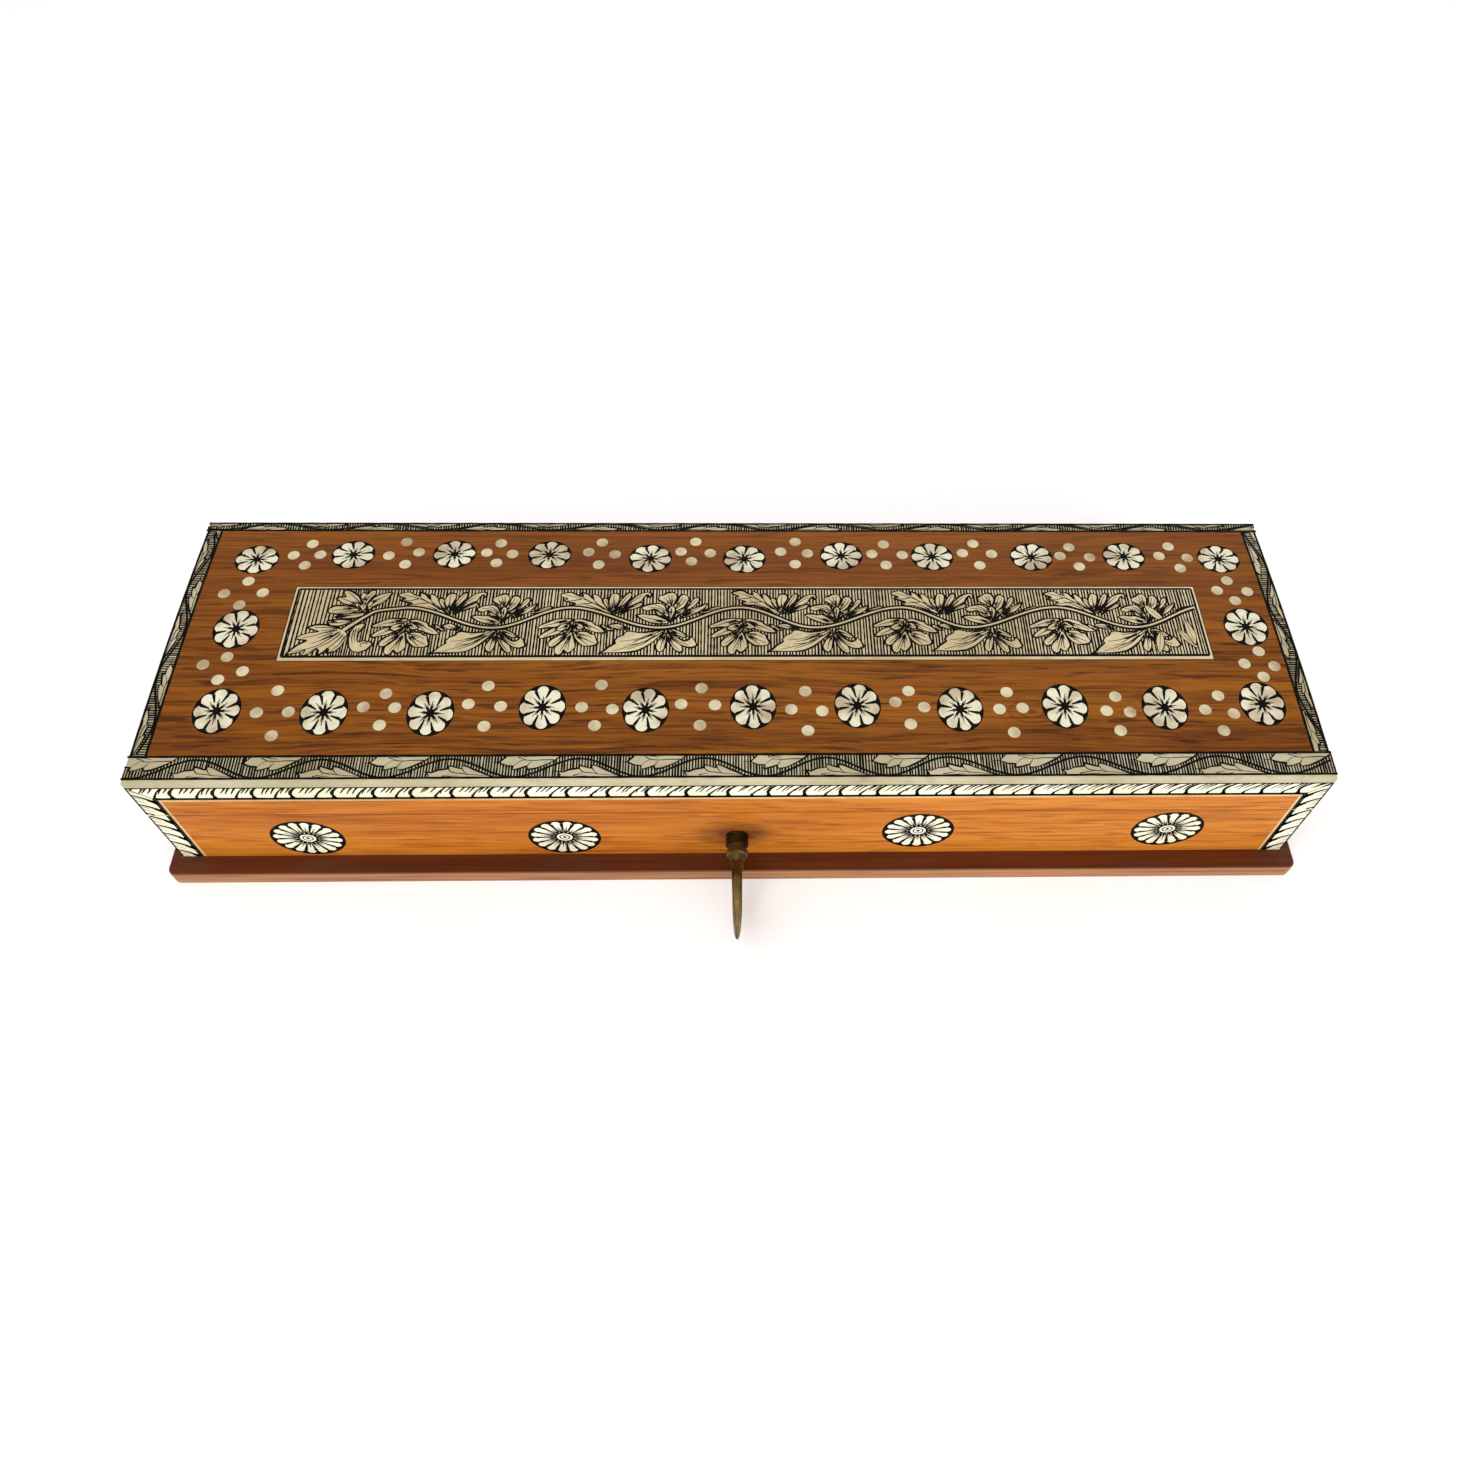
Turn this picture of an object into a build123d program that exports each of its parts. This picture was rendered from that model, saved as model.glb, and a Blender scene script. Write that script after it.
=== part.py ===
from build123d import *
import math
import os

os.makedirs("parts", exist_ok=True)

# ---- driving dimensions, mm. Origin: centre of the plinth's underside. +X along the length, front face towards -Y, +Z up
L = 280.0            # case length
D = 81.0             # case depth
PL_T = 4.3           # plinth thickness
PL_X = 2.7           # plinth projection at the ends
PL_Y = 5.3           # plinth projection at front and back
Z_SPLIT = 25.0       # joint line between case and lid
GAP = 0.3            # hairline gap at the joint line
Z_EDGE = 39.9        # top of the lid at its long edges
CAMBER = 1.0         # rise of the lid's crown above its edges
WALL = 8.0           # wall thickness
Z_BOARD = 35.0       # underside of the lid board
FLOOR_T = 3.0        # floor lining thickness
PART_T = 3.0         # partition thickness
PART_Z = 20.0        # top of the partitions
WELL = 33.0          # length of each end well
B_FRONT = 7.1        # width of the bone border on the lid, front
B_BACK = 3.6         # back
B_END = 4.4          # ends
B_T = 2.3            # border thickness
INLAY_T = 1.2        # thickness of the other inlays
BAND = 5.0           # height of the roped band on the lid's sides
STRING = 1.2         # pale stringing
STRIP = 4.8          # width of a corner strip
PANEL = (-112.0, 118.1, -6.7, 17.1)   # central bone panel x0, x1, y0, y1
ROS_R = 5.5          # rosette radius on the lid along the length; across it each row has its own
DOT_R = 1.5          # peg radius on the lid
HINGE_Y = 42.7       # hinge axis behind the back face
HINGE_R = 2.0
PIN_R = 0.9
HINGE_X = (-85.0, 85.0)
HINGE_W = 26.0
LEAF_T = 1.15
KX = -0.3            # keyhole centre
KZ = 13.3
BOLT_TRAVEL = 4.0
SH = 2.2             # key shank radius
BIT_R = 4.5          # reach of the key's bit from its axis
KEY_OUT = 27.0       # how far the key stands out of the front face

HX, HY = L / 2, D / 2
ZB = Z_SPLIT - GAP / 2      # top of the case walls
ZL = Z_SPLIT + GAP / 2      # underside of the lid rails
Z_BAND = Z_EDGE - B_T       # top of the roped band
R_TOP = (HY ** 2 + CAMBER ** 2) / (2 * CAMBER)
ZC = Z_EDGE + CAMBER - R_TOP    # centre height of the crown's arc


def bx(x0, x1, y0, y1, z0, z1):
    return Pos((x0 + x1) / 2, (y0 + y1) / 2, (z0 + z1) / 2) * Box(abs(x1 - x0), abs(y1 - y0), abs(z1 - z0))


def prism_xz(pts, y0, y1):
    """Polygon in the XZ plane, extruded from y0 to y1."""
    f = make_face(Polyline([(p[0], y0, p[1]) for p in pts], close=True))
    return extrude(f, amount=y1 - y0, dir=(0, 1, 0))


def prism_yz(pts, x0, x1):
    f = make_face(Polyline([(x0, p[0], p[1]) for p in pts], close=True))
    return extrude(f, amount=x1 - x0, dir=(1, 0, 0))


def cyl(x, y, z, r, h, axis="z"):
    """Cylinder that starts at the point and runs h along the axis."""
    c = Cylinder(r, abs(h))
    s = h / 2
    if axis == "z":
        return Pos(x, y, z + s) * c
    if axis == "y":
        return Pos(x, y + s, z) * Rot(90, 0, 0) * c
    return Pos(x + s, y, z) * Rot(0, 90, 0) * c


def arc_slab(r, zlow, x0=-HX, x1=HX):
    """Solid under an arc of radius r about the crown's centre line, down to zlow."""
    pad = 0.0
    y = HY + pad
    ze = ZC + math.sqrt(r * r - y * y)
    e = [Line((x0, -y, zlow), (x0, y, zlow)), Line((x0, y, zlow), (x0, y, ze)),
         ThreePointArc((x0, y, ze), (x0, 0, ZC + r), (x0, -y, ze)), Line((x0, -y, ze), (x0, -y, zlow))]
    return extrude(make_face(Wire(e)), amount=x1 - x0, dir=(1, 0, 0))


def one(s):
    """The single solid of a shape."""
    s = s.solids() if hasattr(s, "solids") else s
    return max(s, key=lambda k: k.volume)


def group(items):
    out = []
    for i in items:
        out += list(i.solids())
    return Compound(children=out)


nodes = {}

# ---- lid envelope with softened top edges
env = arc_slab(R_TOP, ZL)
top_edges = [e for e in env.edges() if e.bounding_box().min.Z > Z_EDGE - 0.01]
env = one(fillet(top_edges, 0.8))
under_border = arc_slab(R_TOP - B_T, 0)          # below the end borders
under_inlay = arc_slab(R_TOP - INLAY_T, 0)       # below panel, rosettes and pegs

# ---- borders on the lid
yF, yB = -HY + B_FRONT, HY - B_BACK
top_front = one(env & bx(-HX, HX, -HY, yF, Z_BAND, 60))
top_back = one(env & bx(-HX, HX, yB, HY, Z_BAND, 60))
top_left = one((env & bx(-HX, -HX + B_END, yF, yB, Z_BAND - 5, 60)) - under_border)
top_right = one((env & bx(HX - B_END, HX, yF, yB, Z_BAND - 5, 60)) - under_border)
nodes["top_border_front"] = top_front
nodes["top_border_back"] = top_back
nodes["top_border_left"] = top_left
nodes["top_border_right"] = top_right

# ---- central panel
panel = one((env & bx(PANEL[0], PANEL[1], PANEL[2], PANEL[3], 30, 60)) - under_inlay)
nodes["top_panel"] = panel

# ---- rosettes and pegs let into the lid board
ROSETTES = [(-124.3, 26.6), (-99.9, 28.3), (-73.8, 28.5), (-49.1, 28.3), (-22.8, 27.0), (1.7, 26.8), (27.2, 28.0), (51.1, 27.7),
            (77.4, 27.6), (102.0, 27.8), (127.1, 26.9), (-123.9, 3.3), (128.6, 3.6), (-122.7, -21.2), (-97.6, -21.7), (-72.6, -22.0),
            (-46.4, -20.4), (-21.9, -21.2), (3.7, -20.4), (28.7, -20.2), (53.3, -21.3), (78.7, -20.5), (102.9, -21.0), (126.9, -20.0)]
PEGS = [(-115.2, 28.1), (-111.6, 24.5), (-111.2, 32.2), (-108.4, 28.3), (-90.7, 28.0), (-86.9, 32.9), (-86.0, 24.9), (-83.1, 29.2),
        (-65.5, 29.1), (-62.6, 25.4), (-62.2, 32.5), (-58.8, 28.6), (-39.0, 29.3), (-36.1, 24.8), (-35.7, 32.8), (-32.1, 28.5),
        (-14.9, 29.5), (-12.1, 26.0), (-11.1, 33.1), (-7.2, 28.9), (11.3, 29.5), (15.2, 33.1), (15.0, 25.0), (18.3, 28.9),
        (35.3, 28.7), (38.6, 32.2), (38.8, 24.7), (43.3, 28.3), (59.3, 29.0), (62.5, 32.5), (63.4, 24.6), (67.0, 28.7),
        (85.1, 28.0), (88.0, 31.2), (89.6, 24.2), (92.9, 27.5), (111.5, 28.0), (114.7, 31.5), (116.2, 23.6), (118.9, 27.3),
        (-129.7, 14.8), (-124.9, 10.4), (-124.6, 19.0), (-120.1, 15.1), (124.1, 15.8), (127.5, 19.2), (128.0, 12.3), (131.9, 15.4),
        (-129.2, -7.7), (-124.6, -12.2), (-124.0, -5.4), (-119.3, -9.7), (125.4, -8.0), (129.2, -12.0), (129.9, -4.2), (132.7, -8.8),
        (-113.3, -21.7), (-108.5, -28.1), (-109.7, -15.4), (-105.9, -21.5), (-88.6, -20.2), (-84.0, -25.3), (-83.9, -16.4), (-81.2, -20.4),
        (-64.0, -19.4), (-59.6, -25.7), (-59.9, -14.2), (-56.3, -20.1), (-37.1, -20.4), (-33.7, -25.6), (-32.8, -14.0), (-29.8, -21.0),
        (-13.5, -19.6), (-8.9, -25.6), (-8.7, -15.0), (-5.4, -19.9), (12.8, -21.2), (16.6, -27.2), (16.3, -16.0), (20.2, -21.7),
        (37.9, -19.2), (41.1, -25.5), (41.3, -16.0), (44.7, -20.7), (62.8, -21.3), (65.5, -27.9), (65.1, -16.4), (68.4, -21.0),
        (88.6, -21.9), (91.0, -27.5), (91.4, -17.8), (94.2, -22.3), (112.6, -21.7), (115.8, -27.6), (116.6, -17.6), (119.3, -22.8)]


def ros_ry(y):
    """Half height of a rosette: the front row is a little taller than wide, the back row a little flatter."""
    return 6.3 if y < -10 else 6.0 if y < 12 else 4.9


def ros_disc(x, y, grow=0.0):
    return Pos(x, y, 30) * extrude(Ellipse(ROS_R + grow, ros_ry(y) + grow), 12)


# each peg sits clear of the discs beside it
for i, (px, py) in enumerate(PEGS):
    for rx, ry in ROSETTES:
        d = math.hypot(px - rx, py - ry)
        c, t = (px - rx) / d, (py - ry) / d
        e = ros_ry(ry)
        need = ROS_R * e / math.hypot(e * c, ROS_R * t) + DOT_R + 0.3
        if d < need:
            px, py = rx + c * need, ry + t * need
    PEGS[i] = (px, py)
shell = arc_slab(R_TOP, 30) - under_inlay
nodes["top_rosettes"] = group([one(shell & ros_disc(x, y)) for x, y in ROSETTES])
nodes["top_pegs"] = group([one(shell & cyl(x, y, 36, DOT_R, 12)) for x, y in PEGS])

# ---- lid board, with seats for everything let into it
board = env & bx(-HX, HX, -HY, HY, Z_BOARD, 60)
board -= bx(-HX, HX, -HY, yF, Z_BAND, 60)
board -= bx(-HX, HX, yB, HY, Z_BAND, 60)
band_seat = [bx(-HX, HX, -HY, -HY + INLAY_T, ZL, Z_BAND), bx(-HX, HX, HY - INLAY_T, HY, ZL, Z_BAND),
             bx(-HX, -HX + INLAY_T, -HY, HY, ZL, Z_BAND), bx(HX - INLAY_T, HX, -HY, HY, ZL, Z_BAND)]
for s in band_seat:
    board -= s & bx(-HX, HX, -HY, HY, Z_BAND - BAND, Z_BAND)
ends_seat = bx(-HX, -HX + B_END, yF, yB, 30, 60) - under_border + (bx(HX - B_END, HX, yF, yB, 30, 60) - under_border)
board -= ends_seat
cutters = [bx(PANEL[0], PANEL[1], PANEL[2], PANEL[3], 30, 60) - under_inlay]
cutters += [one(ros_disc(x, y) - under_inlay) for x, y in ROSETTES]
cutters += [one(cyl(x, y, 36, DOT_R, 12) - under_inlay) for x, y in PEGS]
board = board.cut(*[one(c) for c in cutters])

# ---- frames on the four faces of the lid: roped band above, stringing, corner strips
m = Z_BAND - BAND           # foot of the band
zs = m - STRING             # foot of the stringing
a, b = STRIP, STRIP + STRING


def face_solid(pts, side):
    """pts in (u, z) on a face, made into an inlay of that face. side: F, K (back), W (left), E (right)."""
    if side == "F":
        return prism_xz(pts, -HY, -HY + INLAY_T)
    if side == "K":
        return prism_xz(pts, HY - INLAY_T, HY)
    if side == "W":
        return prism_yz(pts, -HX, -HX + INLAY_T)
    return prism_yz(pts, HX - INLAY_T, HX)


def frame_pieces(side):
    h = HX if side in "FK" else HY
    e = h if side in "FK" else h - INLAY_T      # the end faces stop behind the front and back strips
    d = h - e
    band = [(-e, Z_BAND), (e, Z_BAND), (e, Z_BAND - d * BAND / a), (h - a, m), (-h + a, m), (-e, Z_BAND - d * BAND / a)]
    if d == 0:
        band = [(-h, Z_BAND), (h, Z_BAND), (h - a, m), (-h + a, m)]
    line = [(-h + a, m), (h - a, m), (h - b, zs), (-h + b, zs)]
    out = {"band": [band], "line": [line], "strip": [], "case_strip": [], "case_line": []}
    for s in (-1, 1):
        zt = Z_BAND - d * BAND / a
        strip = [(s * e, ZL), (s * (h - a), ZL), (s * (h - a), m), (s * e, zt)]
        ln = [(s * (h - a), ZL), (s * (h - b), ZL), (s * (h - b), zs), (s * (h - a), m)]
        out["strip"].append(strip)
        out["line"].append(ln)
        out["case_strip"].append([(s * e, PL_T), (s * (h - a), PL_T), (s * (h - a), ZB), (s * e, ZB)])
        out["case_line"].append([(s * (h - a), PL_T), (s * (h - b), PL_T), (s * (h - b), ZB), (s * (h - a), ZB)])
    return {k: [face_solid(p, side) for p in v] for k, v in out.items()}


fr = {s: frame_pieces(s) for s in "FKWE"}
nodes["lid_front_band"] = fr["F"]["band"][0]
nodes["lid_back_band"] = fr["K"]["band"][0]
nodes["lid_left_band"] = fr["W"]["band"][0]
nodes["lid_right_band"] = fr["E"]["band"][0]
nodes["lid_front_stringing"] = group(fr["F"]["line"])
nodes["lid_back_stringing"] = group(fr["K"]["line"])
nodes["lid_end_stringing"] = group(fr["W"]["line"] + fr["E"]["line"])
nodes["lid_front_corner_strips"] = group(fr["F"]["strip"])
nodes["lid_back_corner_strips"] = group(fr["K"]["strip"])
nodes["lid_end_corner_strips"] = group(fr["W"]["strip"] + fr["E"]["strip"])
nodes["case_front_corner_strips"] = group(fr["F"]["case_strip"])
nodes["case_back_corner_strips"] = group(fr["K"]["case_strip"])
nodes["case_end_corner_strips"] = group(fr["W"]["case_strip"] + fr["E"]["case_strip"])
nodes["case_stringing"] = group([s for k in "FKWE" for s in fr[k]["case_line"]])
seats = [s for k in "FKWE" for g in ("band", "line", "strip", "case_strip", "case_line") for s in fr[k][g]]

# ---- rosettes let into the front, back and end faces of the case
FR_A, FR_B = 8.8, 8.3
FACE_ROS = [(-105.9, 13.4), (-43.0, 13.2), (44.6, 15.4), (107.0, 15.6)]


def oval(x, y, z, t, axis):
    e = Sketch() + Ellipse(FR_A, FR_B)
    s = extrude(e, amount=t)
    if axis == "y":
        return Pos(x, y, z) * Rot(-90, 0, 0) * s
    return Pos(x, y, z) * Rot(0, 90, 0) * Rot(0, 0, 90) * s


front_ros = [one(oval(x, -HY, z, INLAY_T, "y")) for x, z in FACE_ROS]
back_ros = [one(oval(x, HY - INLAY_T, 14.5, INLAY_T, "y")) for x in (-107.0, -43.0, 43.0, 107.0)]
end_ros = [one(oval(-HX, 0, 14.5, INLAY_T, "x")), one(oval(HX - INLAY_T, 0, 14.5, INLAY_T, "x"))]
nodes["front_rosettes"] = group(front_ros)
nodes["back_rosettes"] = group(back_ros)
nodes["end_rosettes"] = group(end_ros)

# ---- hinges: two brass butt hinges, knuckles behind the back face, leaves let into both edges
KN = HINGE_W / 3
CL = 0.12
case_leaves, lid_leaves, pins, case_screws, lid_screws = [], [], [], [], []
leaf_pockets_case, leaf_pockets_lid, screw_holes = [], [], []


def screw(x, y, z, up, length=5.5):
    """Countersunk screw. z is the head's outer face; up is +1 when the head faces +Z."""
    head = Pos(x, y, z - up * 0.45) * (Cone(0.75, 1.6, 0.9) if up > 0 else Cone(1.6, 0.75, 0.9))
    shank = cyl(x, y, z - up * 0.9, 0.75, -up * length)
    return one(head + shank)


def slot_cut(x, y, z, up):
    return bx(x - 1.4, x + 1.4, y - 0.2, y + 0.2, z - 0.35, z + 0.35)


leaf_y = HY - WALL + 1.2
for hx in HINGE_X:
    x0, x1 = hx - HINGE_W / 2, hx + HINGE_W / 2
    sx = [(hx - 8.0, 36.4), (hx, 34.9), (hx + 8.0, 36.4)]
    for up, leaves, pockets, screws, za, zb in ((1, case_leaves, leaf_pockets_case, case_screws, ZB - LEAF_T, ZB),
                                                (-1, lid_leaves, leaf_pockets_lid, lid_screws, ZL, ZL + LEAF_T)):
        leaf = bx(x0, x1, leaf_y, HINGE_Y, za, zb)
        if up > 0:
            kn = [(x0, x0 + KN - CL / 2), (x1 - KN + CL / 2, x1)]
            gaps = [(x0 + KN - CL / 2, x1 - KN + CL / 2)]
        else:
            kn = [(x0 + KN + CL / 2, x1 - KN - CL / 2)]
            gaps = [(x0 - 0.1, x0 + KN + CL / 2), (x1 - KN - CL / 2, x1 + 0.1)]
        leaf += [cyl(k0, HINGE_Y, Z_SPLIT, HINGE_R, k1 - k0, "x") for k0, k1 in kn]
        for g0, g1 in gaps:
            leaf -= cyl(g0, HINGE_Y, Z_SPLIT, HINGE_R + 0.2, g1 - g0, "x")
            leaf -= bx(g0, g1, HINGE_Y - 0.5, HINGE_Y + 3, Z_SPLIT - 3, Z_SPLIT + 3)
        leaf -= cyl(x0 - 1, HINGE_Y, Z_SPLIT, PIN_R + (0.0 if up > 0 else 0.05), HINGE_W + 2, "x")
        scr = [screw(x, y, zb if up > 0 else za, up) for x, y in sx]
        for s in scr:
            leaf -= s
        leaves.append(one(leaf))
        pockets.append(bx(x0, x1, leaf_y, HY + 1, za, zb))
        screw_holes += scr
        screws += [one(s - slot_cut(x, y, zb if up > 0 else za, up)) for s, (x, y) in zip(scr, sx)]
    pins.append(cyl(x0, HINGE_Y, Z_SPLIT, PIN_R, HINGE_W, "x"))
nodes["hinge_case_leaves"] = group(case_leaves)
nodes["hinge_lid_leaves"] = group(lid_leaves)
nodes["hinge_pins"] = group(pins)
nodes["hinge_case_screws"] = group(case_screws)
nodes["hinge_lid_screws"] = group(lid_screws)

# ---- lock let into the inner side of the front wall
yi = -HY + WALL                 # inner face of the front wall
lx0, lx1 = KX - 13.5, KX + 13.5
ly0, ly1 = yi - 5.4, yi
lz0 = KZ - 5.8
z_sel = ZB - 1.2
lock_pocket = bx(lx0, lx1, ly0, ly1, lz0, z_sel)
sel_pocket = bx(KX - 19, KX + 19, ly0, ly1, z_sel, ZB)
case_box = bx(lx0, lx1, ly0, ly1, lz0, z_sel) - bx(lx0 + 0.7, lx1 - 0.7, ly0 + 0.7, ly1 - 0.7, lz0 + 0.7, z_sel)
stap_x = KX - 8.6
stap_y0, stap_y1 = yi - 4.4, yi - 1.0
selvedge = bx(KX - 19, KX + 19, ly0, ly1, z_sel, ZB) - bx(stap_x - 1.0, stap_x + 1.0, stap_y0 - 0.6, stap_y1 + 0.2, z_sel - 1, ZB + 1)
keyhole = cyl(KX, ly0 - 0.1, KZ, SH + 0.3, 0.9, "y") + bx(KX - 0.85, KX + 0.85, ly0 - 0.1, ly0 + 0.8, KZ - 4.8, KZ)
lock_case = one((case_box + selvedge) - keyhole)
lscr = [(KX - 16.2, (ly0 + ly1) / 2), (KX + 16.2, (ly0 + ly1) / 2)]
lock_screws = [screw(x, y, ZB, 1, 6.0) for x, y in lscr]
for s in lock_screws:
    lock_case -= s
pin_hole = cyl(KX, ly1 - 0.7, KZ, 0.55, 0.7, "y")
lock_case = one(lock_case - pin_hole)
nodes["lock_case"] = lock_case
nodes["lock_pin"] = cyl(KX, ly0 + 0.9, KZ, 0.55, ly1 - ly0 - 0.9, "y")
nodes["lock_screws"] = group([one(s - slot_cut(x, y, ZB, 1)) for s, (x, y) in zip(lock_screws, lscr)])
screw_holes += lock_screws
wall_keyhole = cyl(KX, -HY - 1, KZ, 2.75, ly0 + HY + 1.2, "y") + bx(KX - 0.9, KX + 0.9, -HY - 1, ly0 + 0.2, KZ - 4.9, KZ)

# bolt, drawn back at rest; two talons hang either side of the key's sweep
by0, by1 = yi - 3.5, yi - 1.9
bolt = bx(KX - 7.4, KX + 9.4, by0, by1, KZ + 5.4, KZ + 8.0)
bolt += bx(KX + 1.8, KX + 3.2, by0, by1, KZ + 2.8, KZ + 5.4)
bolt += bx(KX + 7.7, KX + 9.1, by0, by1, KZ + 2.8, KZ + 5.4)
nodes["lock_bolt"] = one(bolt)
# strike plate under the lid rail, with the staple the bolt passes through
strike = bx(KX - 19, KX + 19, ly0, ly1, ZL, ZL + 1.2)
staple = bx(stap_x - 0.6, stap_x + 0.6, stap_y0, stap_y1, KZ + 3.2, ZL + 0.1)
staple -= bx(stap_x - 1, stap_x + 1, by0 - 0.25, by1 + 0.25, KZ + 5.0, KZ + 8.4)
strike = one(strike + staple)
strike_scr = [screw(x, y, ZL, -1, 6.0) for x, y in lscr]
for s in strike_scr:
    strike -= s
nodes["strike_plate"] = one(strike)
nodes["strike_screws"] = group([one(s - slot_cut(x, y, ZL, -1)) for s, (x, y) in zip(strike_scr, lscr)])
screw_holes += strike_scr

# ---- key: pipe key, bow in a vertical plane, bit down
key_in = ly0 + 4.2
ky = -HY                        # front face
prof = [(0, key_in), (SH, key_in), (SH, ky - 4.2), (SH + 0.45, ky - 4.5), (SH + 0.45, ky - 5.4), (SH, ky - 5.8), (1.75, ky - 7.2),
        (1.45, ky - 9.4), (0, ky - 9.4)]
shank = revolve(make_face(Polyline([(KX + r, y, KZ) for r, y in prof], close=True)), axis=Axis((KX, 0, KZ), (0, 1, 0)))
pipe = cyl(KX, key_in - 9.0, KZ, 0.62, 9.1, "y")
bit = bx(KX - 0.6, KX + 0.6, ly0 + 1.6, ly0 + 3.8, KZ - BIT_R, KZ - SH + 0.4)
bit -= bx(KX - 1, KX + 1, ly0 + 2.5, ly0 + 2.9, KZ - BIT_R - 0.1, KZ - BIT_R + 1.4)
bow = extrude(Sketch() + Ellipse(9.7, 8.2), amount=2.5) - Pos(0.6, 0, -1) * extrude(Sketch() + Ellipse(6.4, 5.4), amount=5)
bow = fillet(bow.edges(), 0.7)
bow = Pos(KX - 1.25, ky - KEY_OUT + 9.7, KZ) * Rot(0, 0, 90) * Rot(90, 0, 0) * Pos(0, 0, 0) * bow
key = one((shank + bow + bit) - pipe)
nodes["key"] = key
collar = cyl(KX, ky - 2.8, KZ, SH + 0.6, 2.2, "y") - cyl(KX, ky - 3.5, KZ, SH + 0.04, 4, "y")
nodes["key_collar"] = one(collar)

# ---- case walls, plinth, floor and partitions
nodes["plinth"] = one(fillet(bx(-HX - PL_X, HX + PL_X, -HY - PL_Y, HY + PL_Y, 0, PL_T).edges().filter_by(Axis.Z), 2.2))
nodes["plinth"] = one(fillet([e for e in nodes["plinth"].edges() if abs(e.center().Z - PL_T) < 1e-6], 0.5))
front = bx(-HX, HX, -HY, yi, PL_T, ZB)
back = bx(-HX, HX, HY - WALL, HY, PL_T, ZB)
left = bx(-HX, -HX + WALL, -HY + WALL, HY - WALL, PL_T, ZB)
right = bx(HX - WALL, HX, -HY + WALL, HY - WALL, PL_T, ZB)
lf = bx(-HX, HX, -HY, yi, ZL, Z_BOARD)
lk = bx(-HX, HX, HY - WALL, HY, ZL, Z_BOARD)
ll = bx(-HX, -HX + WALL, -HY + WALL, HY - WALL, ZL, Z_BOARD)
lr = bx(HX - WALL, HX, -HY + WALL, HY - WALL, ZL, Z_BOARD)


def cut_near(body, tools):
    bb = body.bounding_box()
    near = []
    for t in tools:
        tb = t.bounding_box()
        if tb.min.X < bb.max.X and tb.max.X > bb.min.X and tb.min.Y < bb.max.Y and tb.max.Y > bb.min.Y and tb.min.Z < bb.max.Z and tb.max.Z > bb.min.Z:
            near.append(t)
    for t in near:
        body = one(body - t)
    return body


common = seats + front_ros + back_ros + end_ros + leaf_pockets_case + leaf_pockets_lid + screw_holes
for name, s in (("front_wall", front), ("back_wall", back), ("left_wall", left), ("right_wall", right), ("lid_front_rail", lf),
                ("lid_back_rail", lk), ("lid_left_rail", ll), ("lid_right_rail", lr)):
    s = cut_near(s, common)
    if name == "front_wall":
        s = one(((s - lock_pocket) - sel_pocket) - wall_keyhole)
    if name == "lid_front_rail":
        s = one(s - bx(KX - 19, KX + 19, ly0, ly1, ZL, ZL + 1.2))
    nodes[name] = s
nodes["lid_board"] = one(cut_near(one(board), [s for s in lid_screws]))
xi, yw = HX - WALL, HY - WALL
nodes["floor_lining"] = bx(-xi, xi, -yw, yw, PL_T, PL_T + FLOOR_T)
nodes["partition_left"] = bx(-xi + WELL, -xi + WELL + PART_T, -yw, yw, PL_T + FLOOR_T, PART_Z)
nodes["partition_right"] = bx(xi - WELL - PART_T, xi - WELL, -yw, yw, PL_T + FLOOR_T, PART_Z)

for n, s in nodes.items():
    export_step(s, f"parts/{n}.step")
print(len(nodes), "nodes")
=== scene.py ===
import bpy, math, random
import numpy as np
from mathutils import Matrix, Vector


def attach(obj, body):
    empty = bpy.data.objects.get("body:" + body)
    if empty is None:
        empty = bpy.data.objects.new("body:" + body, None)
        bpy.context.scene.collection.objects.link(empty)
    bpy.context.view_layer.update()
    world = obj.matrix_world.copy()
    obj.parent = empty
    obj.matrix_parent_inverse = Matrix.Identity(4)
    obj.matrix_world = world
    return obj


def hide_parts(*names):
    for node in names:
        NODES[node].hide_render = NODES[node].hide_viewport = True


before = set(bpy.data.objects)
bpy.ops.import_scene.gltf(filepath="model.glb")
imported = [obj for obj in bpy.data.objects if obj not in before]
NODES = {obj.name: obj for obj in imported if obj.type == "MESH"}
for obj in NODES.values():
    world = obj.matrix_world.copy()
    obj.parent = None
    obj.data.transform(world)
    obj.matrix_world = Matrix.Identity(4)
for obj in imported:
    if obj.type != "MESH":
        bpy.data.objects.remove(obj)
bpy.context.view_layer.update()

rnd = random.Random(11)

# ------------------------------------------------------------------ sizes (mm), as in the construction
L, D = 280.0, 81.0
HX, HY = 140.0, 40.5
Z_EDGE, CAMBER = 39.9, 1.0
R_TOP = (HY ** 2 + CAMBER ** 2) / (2 * CAMBER)
ZC = Z_EDGE + CAMBER - R_TOP
ZB, ZL = 24.85, 25.15
PL_T = 4.3
Z_BAND, BAND, STRING, STRIP = 37.6, 5.0, 1.2, 4.8
B_FRONT, B_BACK, B_END = 7.1, 3.6, 4.4
PANEL = (-112.0, 118.1, -6.7, 17.1)
KX, KZ = -0.3, 13.3
EPS = 0.014

# ------------------------------------------------------------------ flat ink drawing, in mm


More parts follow.
